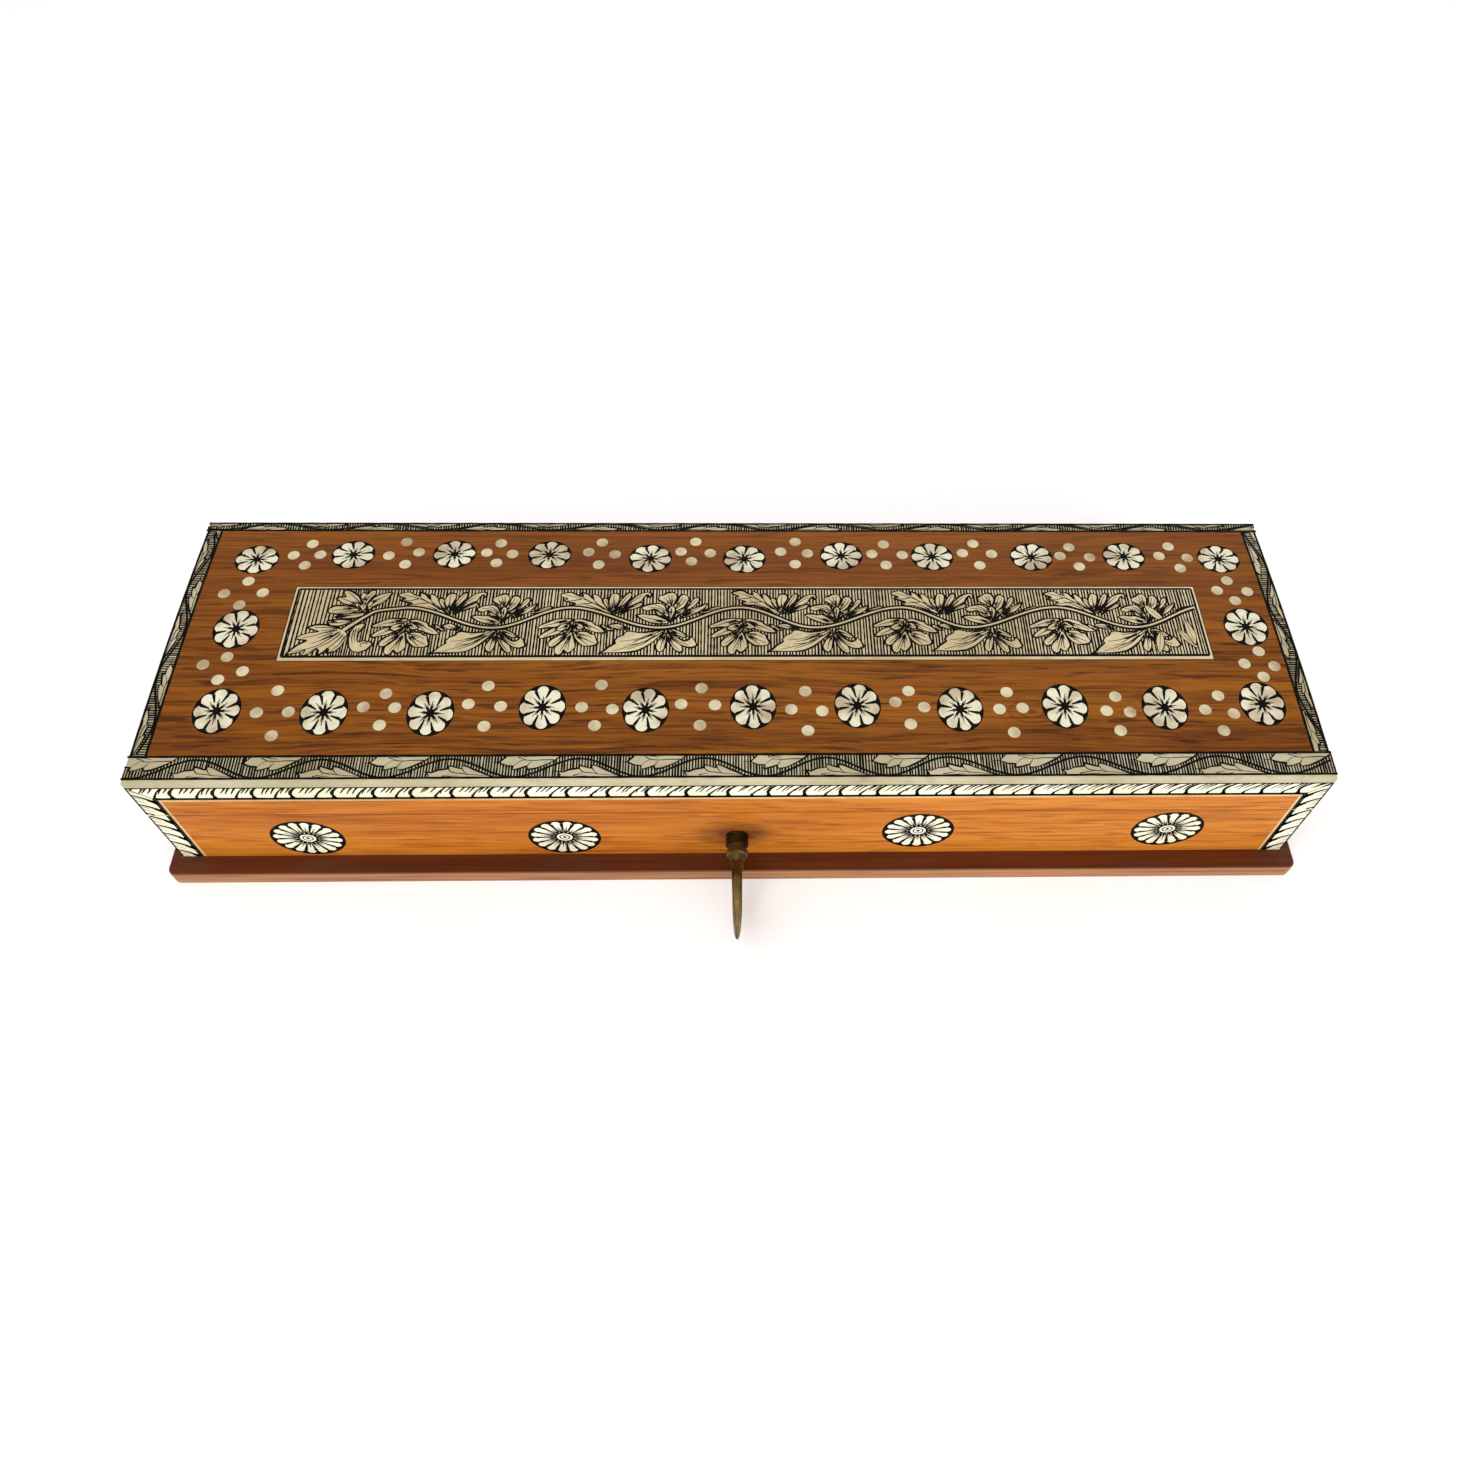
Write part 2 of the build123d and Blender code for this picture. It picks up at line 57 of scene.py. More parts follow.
def catmull(pts, closed=True, step=0.16, ten=1.0):
    p = np.asarray(pts, float)
    n = len(p)
    out = []
    rng = range(n) if closed else range(n - 1)
    for i in rng:
        if closed:
            a, b, c, d = p[(i - 1) % n], p[i], p[(i + 1) % n], p[(i + 2) % n]
        else:
            a, b, c, d = p[max(i - 1, 0)], p[i], p[i + 1], p[min(i + 2, n - 1)]
        k = max(2, int(np.linalg.norm(c - b) / step) + 1)
        t = np.linspace(0, 1, k, endpoint=False)[:, None]
        m0, m1 = (c - a) * 0.5 * ten, (d - b) * 0.5 * ten
        q = (2 * t ** 3 - 3 * t * t + 1) * b + (t ** 3 - 2 * t * t + t) * m0 + (3 * t * t - 2 * t ** 3) * c + (t ** 3 - t * t) * m1
        out.append(q)
    out.append(p[:1] if closed else p[-1:])
    return np.vstack(out)


def dense(pts, step=0.16):
    p = np.asarray(pts, float)
    out = []
    for b, c in zip(p[:-1], p[1:]):
        k = max(1, int(np.linalg.norm(c - b) / step))
        t = np.linspace(0, 1, k, endpoint=False)[:, None]
        out.append(b + (c - b) * t)
    out.append(p[-1:])
    return np.vstack(out)


def inside(poly, pts):
    x, y = pts[:, 0], pts[:, 1]
    px, py = poly[:, 0], poly[:, 1]
    res = np.zeros(len(pts), bool)
    j = len(poly) - 1
    for i in range(len(poly)):
        c = (py[i] > y) != (py[j] > y)
        if c.any():
            res ^= c & (x < (px[j] - px[i]) * (y - py[i]) / ((py[j] - py[i]) or 1e-12) + px[i])
        j = i
    return res


class Art:
    """Strokes and shapes on a flat strip. A later shape covers the strokes under it."""

    def __init__(self, clip=None):
        self.strokes, self.fills, self.polys, self.clip = [], [], [], clip

    def stroke(self, pts, w, w1=None, smooth=True):
        p = catmull(pts, False) if smooth and len(pts) > 2 else dense(pts)
        n = len(p)
        if w1 is None:
            hw = np.full(n, w / 2)
        else:
            hw = np.linspace(w / 2, w1 / 2, n)
        self.add(p, hw)

    def add(self, p, hw):
        if self.clip is not None:
            x0, x1, y0, y1 = self.clip
            keep = (p[:, 0] > x0) & (p[:, 0] < x1) & (p[:, 1] > y0) & (p[:, 1] < y1)
            self.split(p, hw, keep, self.strokes)
        else:
            self.strokes.append((p, hw))

    @staticmethod
    def split(p, hw, keep, out):
        if keep.all():
            out.append((p, hw))
            return
        idx = np.flatnonzero(keep)
        if len(idx) == 0:
            return
        for run in np.split(idx, np.flatnonzero(np.diff(idx) > 1) + 1):
            if len(run) >= 2:
                out.append((p[run], hw[run]))

    def cover(self, poly):
        lo, hi = poly.min(0), poly.max(0)
        new = []
        for p, hw in self.strokes:
            a, b = p.min(0), p.max(0)
            if (a > hi).any() or (b < lo).any():
                new.append((p, hw))
                continue
            self.split(p, hw, ~inside(poly, p), new)
        self.strokes = new

    def shape(self, outline, lines=(), w=0.26, lw=0.17, smooth=True, ten=1.0, shade=0, reach=0.5):
        poly = catmull(outline, ten=ten) if smooth else dense(list(outline) + [outline[0]])
        self.cover(poly)
        self.polys.append(poly)
        n = len(poly)
        hw = w / 2 * (1 + 0.35 * np.sin(np.linspace(0, 2 * math.pi * 3, n) + rnd.random() * 6))
        self.add(poly, hw)
        for ln in lines:
            self.stroke(ln, lw, lw * 0.35)
        if shade:
            # a fan of short cuts from the base of the petal or leaf
            base = poly[0]
            far = np.linalg.norm(poly - base, axis=1)
            idx = np.flatnonzero(far > far.max() * 0.55)
            for i in idx[np.linspace(0, len(idx) - 1, shade + 2).astype(int)[1:-1]]:
                tip = poly[i]
                k = reach * rnd.uniform(0.7, 1.15)
                a = base + (tip - base) * 0.22
                c = base + (tip - base) * k
                mid = (a + c) / 2 + np.array([-(c - a)[1], (c - a)[0]]) * rnd.uniform(-0.05, 0.05)
                p = catmull([a, mid, c], False)
                if len(p) > 2:
                    ok = inside(poly, p)
                    out = []
                    Art.split(p, np.linspace(lw * 0.52, lw * 0.16, len(p)), ok, out)
                    for q, hw in out:
                        self.add(q, hw)

    def fill(self, poly):
        self.fills.append(np.asarray(poly, float))

    def hatch(self, us, v0, v1, w, vertical=True, jitter=0.05):
        """Parallel lines between v0 and v1, left out inside every shape."""
        boxes = [(q.min(0), q.max(0)) for q in self.polys]
        for u in us:
            u = u + rnd.uniform(-jitter, jitter)
            cuts = []
            for q, (lo, hi) in zip(self.polys, boxes):
                if not lo[0] < u < hi[0]:
                    continue
                a, b = q[:-1], q[1:]
                m = (a[:, 0] > u) != (b[:, 0] > u)
                ys = a[m, 1] + (u - a[m, 0]) * (b[m, 1] - a[m, 1]) / (b[m, 0] - a[m, 0])
                ys = np.sort(ys)
                cuts += [(ys[i], ys[i + 1]) for i in range(0, len(ys) - 1, 2)]
            cuts.sort()
            y = v0
            segs = []
            for c0, c1 in cuts:
                if c0 > y:
                    segs.append((y, c0))
                y = max(y, c1)
            if y < v1:
                segs.append((y, v1))
            for s0, s1 in segs:
                s0, s1 = max(s0, v0), min(s1, v1)
                if s1 - s0 > 0.25:
                    tilt = rnd.uniform(-0.012, 0.012)
                    ww = w * rnd.uniform(0.8, 1.2)
                    n = max(2, int((s1 - s0) / 1.6) + 2)
                    yy = np.linspace(s0, s1, n)
                    self.strokes.append((np.stack([u + tilt * (yy - s0), yy], 1), np.full(n, ww / 2) * (1 + 0.18 * np.sin(yy * 2.1 + u))))


def thin_out(p, hw, dmax=1.4, ang=0.10):
    if len(p) <= 3:
        return p, hw
    d = np.diff(p, axis=0)
    th = np.unwrap(np.arctan2(d[:, 1], d[:, 0]))
    keep = [0]
    acc_d, last = 0.0, th[0]
    ln = np.hypot(d[:, 0], d[:, 1])
    for i in range(1, len(p) - 1):
        acc_d += ln[i - 1]
        if abs(th[i] - last) > ang or acc_d > dmax:
            keep.append(i)
            last, acc_d = th[i], 0.0
    keep.append(len(p) - 1)
    return p[keep], hw[keep]


class Build:
    """Gathers ribbons and fills from several drawings into one mesh, mapped on a surface."""

    def __init__(self):
        self.v, self.f, self.n = [], [], 0

    def ribbons(self, strokes, mp):
        for p, hw in strokes:
            p, hw = thin_out(p, hw)
            d = np.gradient(p, axis=0)
            ln = np.hypot(d[:, 0], d[:, 1])
            ln[ln < 1e-9] = 1
            nrm = np.stack([-d[:, 1], d[:, 0]], 1) / ln[:, None]
            a, b = mp(p + nrm * hw[:, None]), mp(p - nrm * hw[:, None])
            k = len(p)
            self.v.append(np.hstack([a, b]).reshape(-1, 3))
            for i in range(k - 1):
                o = self.n + 2 * i
                self.f.append((o, o + 1, o + 3, o + 2))
            self.n += 2 * k

    def poly(self, pts, mp):
        q = mp(np.asarray(pts, float))
        self.v.append(q)
        self.f.append(tuple(range(self.n, self.n + len(q))))
        self.n += len(q)

    def band(self, inner, outer, mp):
        """Faces between two closed rings of the same count."""
        a, b = mp(inner), mp(outer)
        k = len(a)
        self.v.append(np.hstack([a, b]).reshape(-1, 3))
        for i in range(k):
            j = (i + 1) % k
            self.f.append((self.n + 2 * i, self.n + 2 * i + 1, self.n + 2 * j + 1, self.n + 2 * j))
        self.n += 2 * k

    def art(self, art, mp):
        self.ribbons(art.strokes, mp)
        for q in art.fills:
            self.poly(q, mp)

    def object(self, name, body, mat, slot="bone", facing=None):
        me = bpy.data.meshes.new(name)
        co = np.vstack(self.v) / 1000.0
        me.from_pydata(co.tolist(), [], self.f)
        me.validate()
        me.materials.append(mat)
        if facing is not None:
            # every face looks outwards
            flip = []
            nrm = np.zeros(len(me.polygons) * 3)
            me.polygons.foreach_get("normal", nrm)
            nrm = nrm.reshape(-1, 3)
            f = facing(co) if callable(facing) else np.array(facing)
            bad = np.flatnonzero(nrm @ np.asarray(f) < 0)
            for i in bad:
                me.polygons[int(i)].flip()
        me.update()
        ob = bpy.data.objects.new(name, me)
        bpy.context.scene.collection.objects.link(ob)
        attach(ob, body)
        return ob


def on_top(p):
    z = ZC + np.sqrt(R_TOP ** 2 - p[:, 1] ** 2) + EPS
    return np.stack([p[:, 0], p[:, 1], z], 1)


def on_front(p):
    return np.stack([p[:, 0], np.full(len(p), -HY - EPS), p[:, 1]], 1)


def on_back(p):
    return np.stack([-p[:, 0], np.full(len(p), HY + EPS), p[:, 1]], 1)


def on_left(p):
    return np.stack([np.full(len(p), -HX - EPS), -p[:, 0], p[:, 1]], 1)


def on_right(p):
    return np.stack([np.full(len(p), HX + EPS), p[:, 0], p[:, 1]], 1)


# ------------------------------------------------------------------ materials


class N:
    def __init__(self, name):
        self.m = bpy.data.materials.new(name)
        self.m.use_nodes = True
        self.t = self.m.node_tree
        self.t.nodes.clear()
        self.out = self.t.nodes.new("ShaderNodeOutputMaterial")
        self.b = self.t.nodes.new("ShaderNodeBsdfPrincipled")
        self.link(self.b.outputs[0], self.out.inputs[0])
        self.co = self.t.nodes.new("ShaderNodeTexCoord").outputs["Object"]

    def link(self, a, b):
        self.t.links.new(a, b)

    def new(self, kind, **kw):
        n = self.t.nodes.new(kind)
        for k, v in kw.items():
            setattr(n, k, v)
        return n

    def map(self, src, scale=(1, 1, 1), loc=(0, 0, 0), rot=(0, 0, 0)):
        n = self.new("ShaderNodeMapping")
        n.inputs["Scale"].default_value = scale
        n.inputs["Location"].default_value = loc
        n.inputs["Rotation"].default_value = rot
        self.link(src, n.inputs["Vector"])
        return n.outputs[0]

    def noise(self, src, scale=1.0, detail=4.0, rough=0.55, dist=0.0):
        n = self.new("ShaderNodeTexNoise")
        n.inputs["Scale"].default_value = scale
        n.inputs["Detail"].default_value = detail
        n.inputs["Roughness"].default_value = rough
        n.inputs["Distortion"].default_value = dist
        self.link(src, n.inputs["Vector"])
        return n.outputs["Fac"]

    def ramp(self, src, stops, mode="LINEAR"):
        n = self.new("ShaderNodeValToRGB")
        n.color_ramp.interpolation = mode
        e = n.color_ramp.elements
        while len(e) < len(stops):
            e.new(0.5)
        for el, (p, c) in zip(e, stops):
            el.position = p
            el.color = (*c, 1) if len(c) == 3 else c
        self.link(src, n.inputs[0])
        return n.outputs[0]

    def mix(self, fac, a, b, blend="MIX"):
        n = self.new("ShaderNodeMix", data_type="RGBA", blend_type=blend)
        self.put(fac, n.inputs[0])
        self.put(a, n.inputs[6])
        self.put(b, n.inputs[7])
        return n.outputs[2]

    def put(self, v, sock):
        if isinstance(v, bpy.types.NodeSocket):
            self.link(v, sock)
        elif isinstance(v, (tuple, list)):
            sock.default_value = (*v, 1) if len(v) == 3 else v
        else:
            sock.default_value = v

    def math(self, op, a, b=0.0, clamp=False):
        n = self.new("ShaderNodeMath", operation=op, use_clamp=clamp)
        self.put(a, n.inputs[0])
        self.put(b, n.inputs[1])
        return n.outputs[0]

    def rng(self, src, a, b, c, d):
        n = self.new("ShaderNodeMapRange")
        n.clamp = True
        self.link(src, n.inputs[0])
        for i, v in enumerate((a, b, c, d)):
            n.inputs[i + 1].default_value = v
        return n.outputs[0]

    def bump(self, h, dist, strength=1.0):
        n = self.new("ShaderNodeBump")
        n.inputs["Strength"].default_value = strength
        n.inputs["Distance"].default_value = dist
        self.link(h, n.inputs["Height"])
        self.link(n.outputs[0], self.b.inputs["Normal"])


def srgb(r, g, b):
    f = lambda c: (c / 255 / 12.92) if c / 255 <= 0.04045 else ((c / 255 + 0.055) / 1.055) ** 2.4
    return (f(r), f(g), f(b))


def wood(name, light, mid, dark, streak, rough=0.46, tint=True, coat=0.0, grain=1.0):
    n = N(name)
    co = n.co
    # slow drift that bends the grain a little
    warp = n.noise(n.map(co, (7, 16, 16)), 1.0, 3, 0.5)
    wv = n.new("ShaderNodeVectorMath", operation="SCALE")
    cx = n.new("ShaderNodeCombineXYZ")
    n.link(warp, cx.inputs[1])
    n.link(warp, cx.inputs[2])
    n.link(cx.outputs[0], wv.inputs[0])
    wv.inputs["Scale"].default_value = 0.012
    ad = n.new("ShaderNodeVectorMath", operation="ADD")
    n.link(co, ad.inputs[0])
    n.link(wv.outputs[0], ad.inputs[1])
    c2 = ad.outputs[0]
    big = n.noise(n.map(c2, (5, 75, 75)), 1.0, 5, 0.6, 0.3)
    mid_n = n.noise(n.map(c2, (17, 430, 430), (3, 1, 2)), 1.0, 5, 0.62, 0.2)
    fine = n.noise(n.map(c2, (40, 1500, 1500), (1, 5, 2)), 1.0, 3, 0.6)
    col = n.ramp(big, [(0.30, dark), (0.47, mid), (0.68, light)])
    lines = n.rng(mid_n, 0.51, 0.66, 0.0, 1.0)
    lines = n.math("POWER", lines, 1.3)
    col = n.mix(n.math("MULTIPLY", lines, 0.7 * grain), col, streak)
    pore = n.noise(n.map(c2, (70, 900, 900), (7, 2, 4)), 1.0, 2, 0.5)
    fl = n.rng(fine, 0.50, 0.66, 0.0, 0.6 * grain)
    col = n.mix(n.rng(pore, 0.58, 0.66, 0.0, 0.7 * grain), col, streak)
    col = n.mix(fl, col, streak)
    pale = n.rng(fine, 0.46, 0.32, 0.0, 0.5)
    col = n.mix(pale, col, light)
    if tint:
        sep = n.new("ShaderNodeSeparateXYZ")
        n.link(co, sep.inputs[0])
        # browner and pinker towards the back of the lid, warmer at the front
        back = n.rng(sep.outputs[1], -0.012, 0.030, 0.0, 1.0)
        col = n.mix(n.math("MULTIPLY", back, 0.35), col, srgb(120, 66, 24))
        # one curl of darker figure
        d = n.new("ShaderNodeVectorMath", operation="DISTANCE")
        n.link(n.map(co, (1, 1.7, 1)), d.inputs[0])
        d.inputs[1].default_value = (0.0705, -0.0220 * 1.7, 0.0405)
        rings = n.math("SINE", n.math("MULTIPLY", d.outputs["Value"], 2600.0))
        near = n.rng(d.outputs["Value"], 0.0, 0.011, 0.5, 0.0)
        col = n.mix(n.math("MULTIPLY", n.rng(rings, -0.2, 1.0, 0.0, 1.0), near), col, streak)
        # painted shade round the keyhole: the shadow of the key and its hole, put into the wood as a blotchy darkening
        d2 = n.new("ShaderNodeVectorMath", operation="DISTANCE")
        n.link(n.map(co, (1, 1, 1.6)), d2.inputs[0])
        d2.inputs[1].default_value = (KX / 1000, -0.0405, (KZ + 1) / 1000 * 1.6)
        keyhole_painted_shade = n.rng(d2.outputs["Value"], 0.0038, 0.012, 1.0, 0.0)
        keyhole_painted_shade = n.math("MULTIPLY", keyhole_painted_shade, n.rng(n.noise(n.map(co, (120, 120, 240)), 1.0, 4, 0.6), 0.3, 0.65, 0.35, 1.0))
        col = n.mix(keyhole_painted_shade, col, srgb(74, 32, 8))
    n.link(col, n.b.inputs["Base Color"])
    r = n.rng(mid_n, 0.3, 0.75, rough - 0.05, rough + 0.14)
    n.link(r, n.b.inputs["Roughness"])
    n.b.inputs["Specular IOR Level"].default_value = 0.12
    n.b.inputs["Coat Weight"].default_value = coat
    n.b.inputs["Coat Roughness"].default_value = 0.3
    h = n.math("ADD", n.math("MULTIPLY", fine, 0.6), n.math("MULTIPLY", mid_n, 0.4))
    n.bump(h, 0.00012, 0.35)
    return n.m


def bone(name, base, warm, dirt, rough=0.38, dirty=0.5, coat=0.0, sc=38):
    n = N(name)
    co = n.co
    blot = n.noise(n.map(co, (sc, sc, sc)), 1.0, 3 if sc > 60 else 5, 0.55)
    small = n.noise(n.map(co, (260, 420, 420)), 1.0, 4, 0.6)
    fibre = n.noise(n.map(co, (90, 1400, 1400), (2, 1, 4)), 1.0, 3, 0.55)
    col = n.ramp(blot, [(0.36, warm), (0.56, base), (0.75, tuple(min(1, c * 1.06) for c in base))])
    col = n.mix(n.rng(small, 0.52, 0.78, 0.0, dirty), col, dirt)
    col = n.mix(n.rng(fibre, 0.56, 0.80, 0.0, 0.35 * dirty), col, dirt)
    n.link(col, n.b.inputs["Base Color"])
    n.link(n.rng(small, 0.3, 0.8, rough - 0.06, rough + 0.18), n.b.inputs["Roughness"])
    n.b.inputs["Subsurface Weight"].default_value = 0.06
    n.b.inputs["Subsurface Radius"].default_value = (0.0012, 0.0009, 0.0006)
    n.b.inputs["Subsurface Scale"].default_value = 1.0
    n.b.inputs["Specular IOR Level"].default_value = 0.18
    n.b.inputs["Coat Weight"].default_value = coat
    n.b.inputs["Coat Roughness"].default_value = 0.25
    n.bump(n.math("ADD", n.math("MULTIPLY", fibre, 0.5), n.math("MULTIPLY", small, 0.5)), 0.00006, 0.3)
    return n.m


def lac(name="lac"):
    n = N(name)
    sp = n.noise(n.map(n.co, (900, 900, 900)), 1.0, 3, 0.6)
    bl = n.noise(n.map(n.co, (60, 60, 60)), 1.0, 3, 0.5)
    col = n.mix(n.rng(sp, 0.5, 0.85, 0.0, 0.5), srgb(7, 6, 4), srgb(30, 24, 15))
    col = n.mix(n.rng(bl, 0.4, 0.75, 0.0, 0.3), col, srgb(26, 17, 8))
    n.link(col, n.b.inputs["Base Color"])
    n.link(n.rng(sp, 0.3, 0.8, 0.45, 0.7), n.b.inputs["Roughness"])
    n.b.inputs["Specular IOR Level"].default_value = 0.05
    n.bump(sp, 0.00004, 0.4)
    return n.m


def metal(name, light, dark, tarn, rough=0.38):
    n = N(name)
    co = n.co
    a = n.noise(n.map(co, (190, 190, 190)), 1.0, 5, 0.62)
    b = n.noise(n.map(co, (1100, 1100, 1100), (3, 2, 1)), 1.0, 4, 0.6)
    col = n.ramp(a, [(0.32, dark), (0.52, light), (0.72, tuple(min(1, c * 1.25) for c in light))])
    col = n.mix(n.rng(b, 0.5, 0.72, 0.0, 0.6), col, tarn)
    n.link(col, n.b.inputs["Base Color"])
    n.b.inputs["Metallic"].default_value = 0.92
    n.link(n.rng(b, 0.3, 0.75, rough - 0.1, rough + 0.22), n.b.inputs["Roughness"])
    n.bump(n.math("ADD", n.math("MULTIPLY", a, 0.5), n.math("MULTIPLY", b, 0.5)), 0.00012, 0.45)
    return n.m


M_TOP = wood("wood_lid", srgb(142, 82, 11), srgb(114, 61, 5), srgb(93, 45, 2), srgb(54, 18, 1))
M_FACE = wood("wood_face", srgb(196, 122, 44), srgb(180, 104, 28), srgb(162, 88, 18), srgb(112, 52, 8), grain=0.7)
M_IN = wood("wood_inner", srgb(214, 170, 118), srgb(196, 148, 96), srgb(172, 124, 76), srgb(132, 86, 48), rough=0.55, tint=False, coat=0.0, grain=0.7)


def plinth_wood():
    n = N("wood_plinth")
    co = n.co
    big = n.noise(n.map(co, (5, 90, 90)), 1.0, 5, 0.6, 0.3)
    fine = n.noise(n.map(co, (26, 900, 900)), 1.0, 4, 0.6)
    top = n.ramp(big, [(0.3, srgb(54, 20, 4)), (0.5, srgb(76, 32, 8)), (0.7, srgb(96, 44, 14))])
    top = n.mix(n.rng(fine, 0.5, 0.75, 0.0, 0.5), top, srgb(40, 12, 8))
    side = n.ramp(big, [(0.3, srgb(124, 78, 44)), (0.5, srgb(150, 100, 60)), (0.7, srgb(172, 124, 84))])
    side = n.mix(n.rng(fine, 0.46, 0.72, 0.0, 0.75), side, srgb(92, 48, 26))
    geo = n.new("ShaderNodeNewGeometry")
    sep = n.new("ShaderNodeSeparateXYZ")
    n.link(geo.outputs["True Normal"], sep.inputs[0])
    sp = n.new("ShaderNodeSeparateXYZ")
    n.link(co, sp.inputs[0])
    up = n.rng(sp.outputs[2], 0.00385, 0.0043, 0.0, 1.0)
    n.link(n.mix(up, side, top), n.b.inputs["Base Color"])
    n.link(n.rng(fine, 0.3, 0.75, 0.3, 0.5), n.b.inputs["Roughness"])
    n.b.inputs["Specular IOR Level"].default_value = 0.2
    n.bump(fine, 0.00012, 0.35)
    return n.m


M_PL = plinth_wood()
# bone of the lid's top borders, painted darker than the same bone on the faces: painted shade
M_BONE_TOP_PAINTED_SHADE = bone("bone", srgb(176, 166, 137), srgb(158, 147, 114), srgb(122, 110, 78))
M_DISC = bone("bone_rosettes", srgb(212, 206, 180), srgb(170, 152, 124), srgb(142, 130, 100), sc=115)
M_PEG = bone("bone_pegs", srgb(196, 186, 154), srgb(158, 138, 106), srgb(128, 108, 76), sc=115)
M_PANEL = bone("bone_panel", srgb(198, 182, 146), srgb(178, 160, 122), srgb(142, 124, 88), dirty=0.6)
# the same bone on the faces' bands, corner strips and rosettes, painted lighter than on the top: painted light
M_BONE_FACES_PAINTED_LIGHT = bone("bone_faces_painted_light", srgb(228, 224, 200), srgb(208, 202, 172), srgb(168, 158, 124), dirty=0.35)
M_LINE = bone("bone_line", srgb(200, 168, 118), srgb(180, 140, 88), srgb(136, 92, 50), dirty=0.6)
M_LAC = lac()
M_BRASS = metal("brass_old", srgb(176, 138, 72), srgb(120, 90, 42), srgb(70, 52, 28))
M_KEY = metal("key_metal", srgb(106, 86, 46), srgb(68, 49, 19), srgb(32, 22, 8), rough=0.46)
M_RING = metal("key_ring_dark", srgb(62, 42, 22), srgb(38, 22, 10), srgb(16, 10, 6), rough=0.5)


def paint(names, mat):
    for nm in names:
        o = NODES[nm]
        o.data.materials.clear()
        o.data.materials.append(mat)


paint(["lid_board"], M_TOP)
paint(["front_wall", "back_wall", "left_wall", "right_wall", "lid_front_rail", "lid_back_rail", "lid_left_rail", "lid_right_rail"], M_FACE)
paint(["floor_lining", "partition_left", "partition_right"], M_IN)
paint(["plinth"], M_PL)
paint(["top_border_front", "top_border_back", "top_border_left", "top_border_right"], M_BONE_TOP_PAINTED_SHADE)
paint(["top_rosettes"], M_DISC)
paint(["top_pegs"], M_PEG)
paint(["top_panel"], M_PANEL)
paint([n for n in NODES if n.endswith("_band") or n.endswith("corner_strips") or n in ("front_rosettes", "back_rosettes", "end_rosettes")], M_BONE_FACES_PAINTED_LIGHT)
paint([n for n in NODES if n.endswith("stringing")], M_LINE)
paint([n for n in NODES if n.startswith("hinge_") or n.startswith("lock_") or n.startswith("strike_")], M_BRASS)
paint(["key"], M_KEY)
paint(["key_collar"], M_RING)

# the inner faces of walls and rails take the paler inner wood
for nm in ("front_wall", "back_wall", "left_wall", "right_wall", "lid_front_rail", "lid_back_rail", "lid_left_rail", "lid_right_rail", "lid_board"):
    me = NODES[nm].data
    me.materials.append(M_IN)
    for p in me.polygons:
        c, nn = p.center * 1000, p.normal
        inner = (abs(c.x) < HX - 7.5 and abs(c.y) < HY - 7.5) and ((abs(nn.z) < 0.5) or (nm == "lid_board" and nn.z < -0.5))
        if nm == "lid_board":
            inner = nn.z < -0.9 and c.z < 35.5
        if inner:
            p.material_index = 1

# softened edges on the bare wood and the brass
for nm, w in (("front_wall", 0.0002), ("back_wall", 0.0002), ("left_wall", 0.0002), ("right_wall", 0.0002), ("key", 0.00015), ("key_collar", 0.0002),
              ("partition_left", 0.0004), ("partition_right", 0.0004)):
    o = NODES[nm]
    b = o.modifiers.new("soft_edge", "BEVEL")
    b.width = w
    b.segments = 2
    b.limit_method = "ANGLE"
    b.angle_limit = math.radians(40)
    b.harden_normals = False

# the key's bow thins towards its end
src = NODES["key"]
km = src.data.copy()
km.name = "key_thinned"
co = np.zeros(len(km.vertices) * 3)
km.vertices.foreach_get("co", co)
co = co.reshape(-1, 3)
y_a, y_b = -0.0500, co[:, 1].min()
t_ = np.clip((y_a - co[:, 1]) / (y_a - y_b), 0, 1)
co[:, 0] = KX / 1000 + (co[:, 0] - KX / 1000) * (1 - 0.78 * t_ ** 3)
km.vertices.foreach_set("co", co.ravel())
km.update()
key_new = bpy.data.objects.new("key_thinned", km)
bpy.context.scene.collection.objects.link(key_new)
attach(key_new, "key")
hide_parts("key")
b = key_new.modifiers.new("soft_edge", "BEVEL")
b.width, b.segments, b.limit_method, b.angle_limit = 0.00012, 2, "ANGLE", math.radians(40)

# ------------------------------------------------------------------ central panel: scrolling stem with flowers and leaves
SX, SY = 34.4, 27.25         # drawing units per mm


def tr(pts, cx=238.0, cy=533.0, sx=SX, sy=SY):
    """Drawing units to mm, about the stem's crest and the panel's mid height."""
    a = np.asarray(pts, float)
    return np.stack([(a[:, 0] - cx) / sx, (cy - a[:, 1]) / sy], 1)


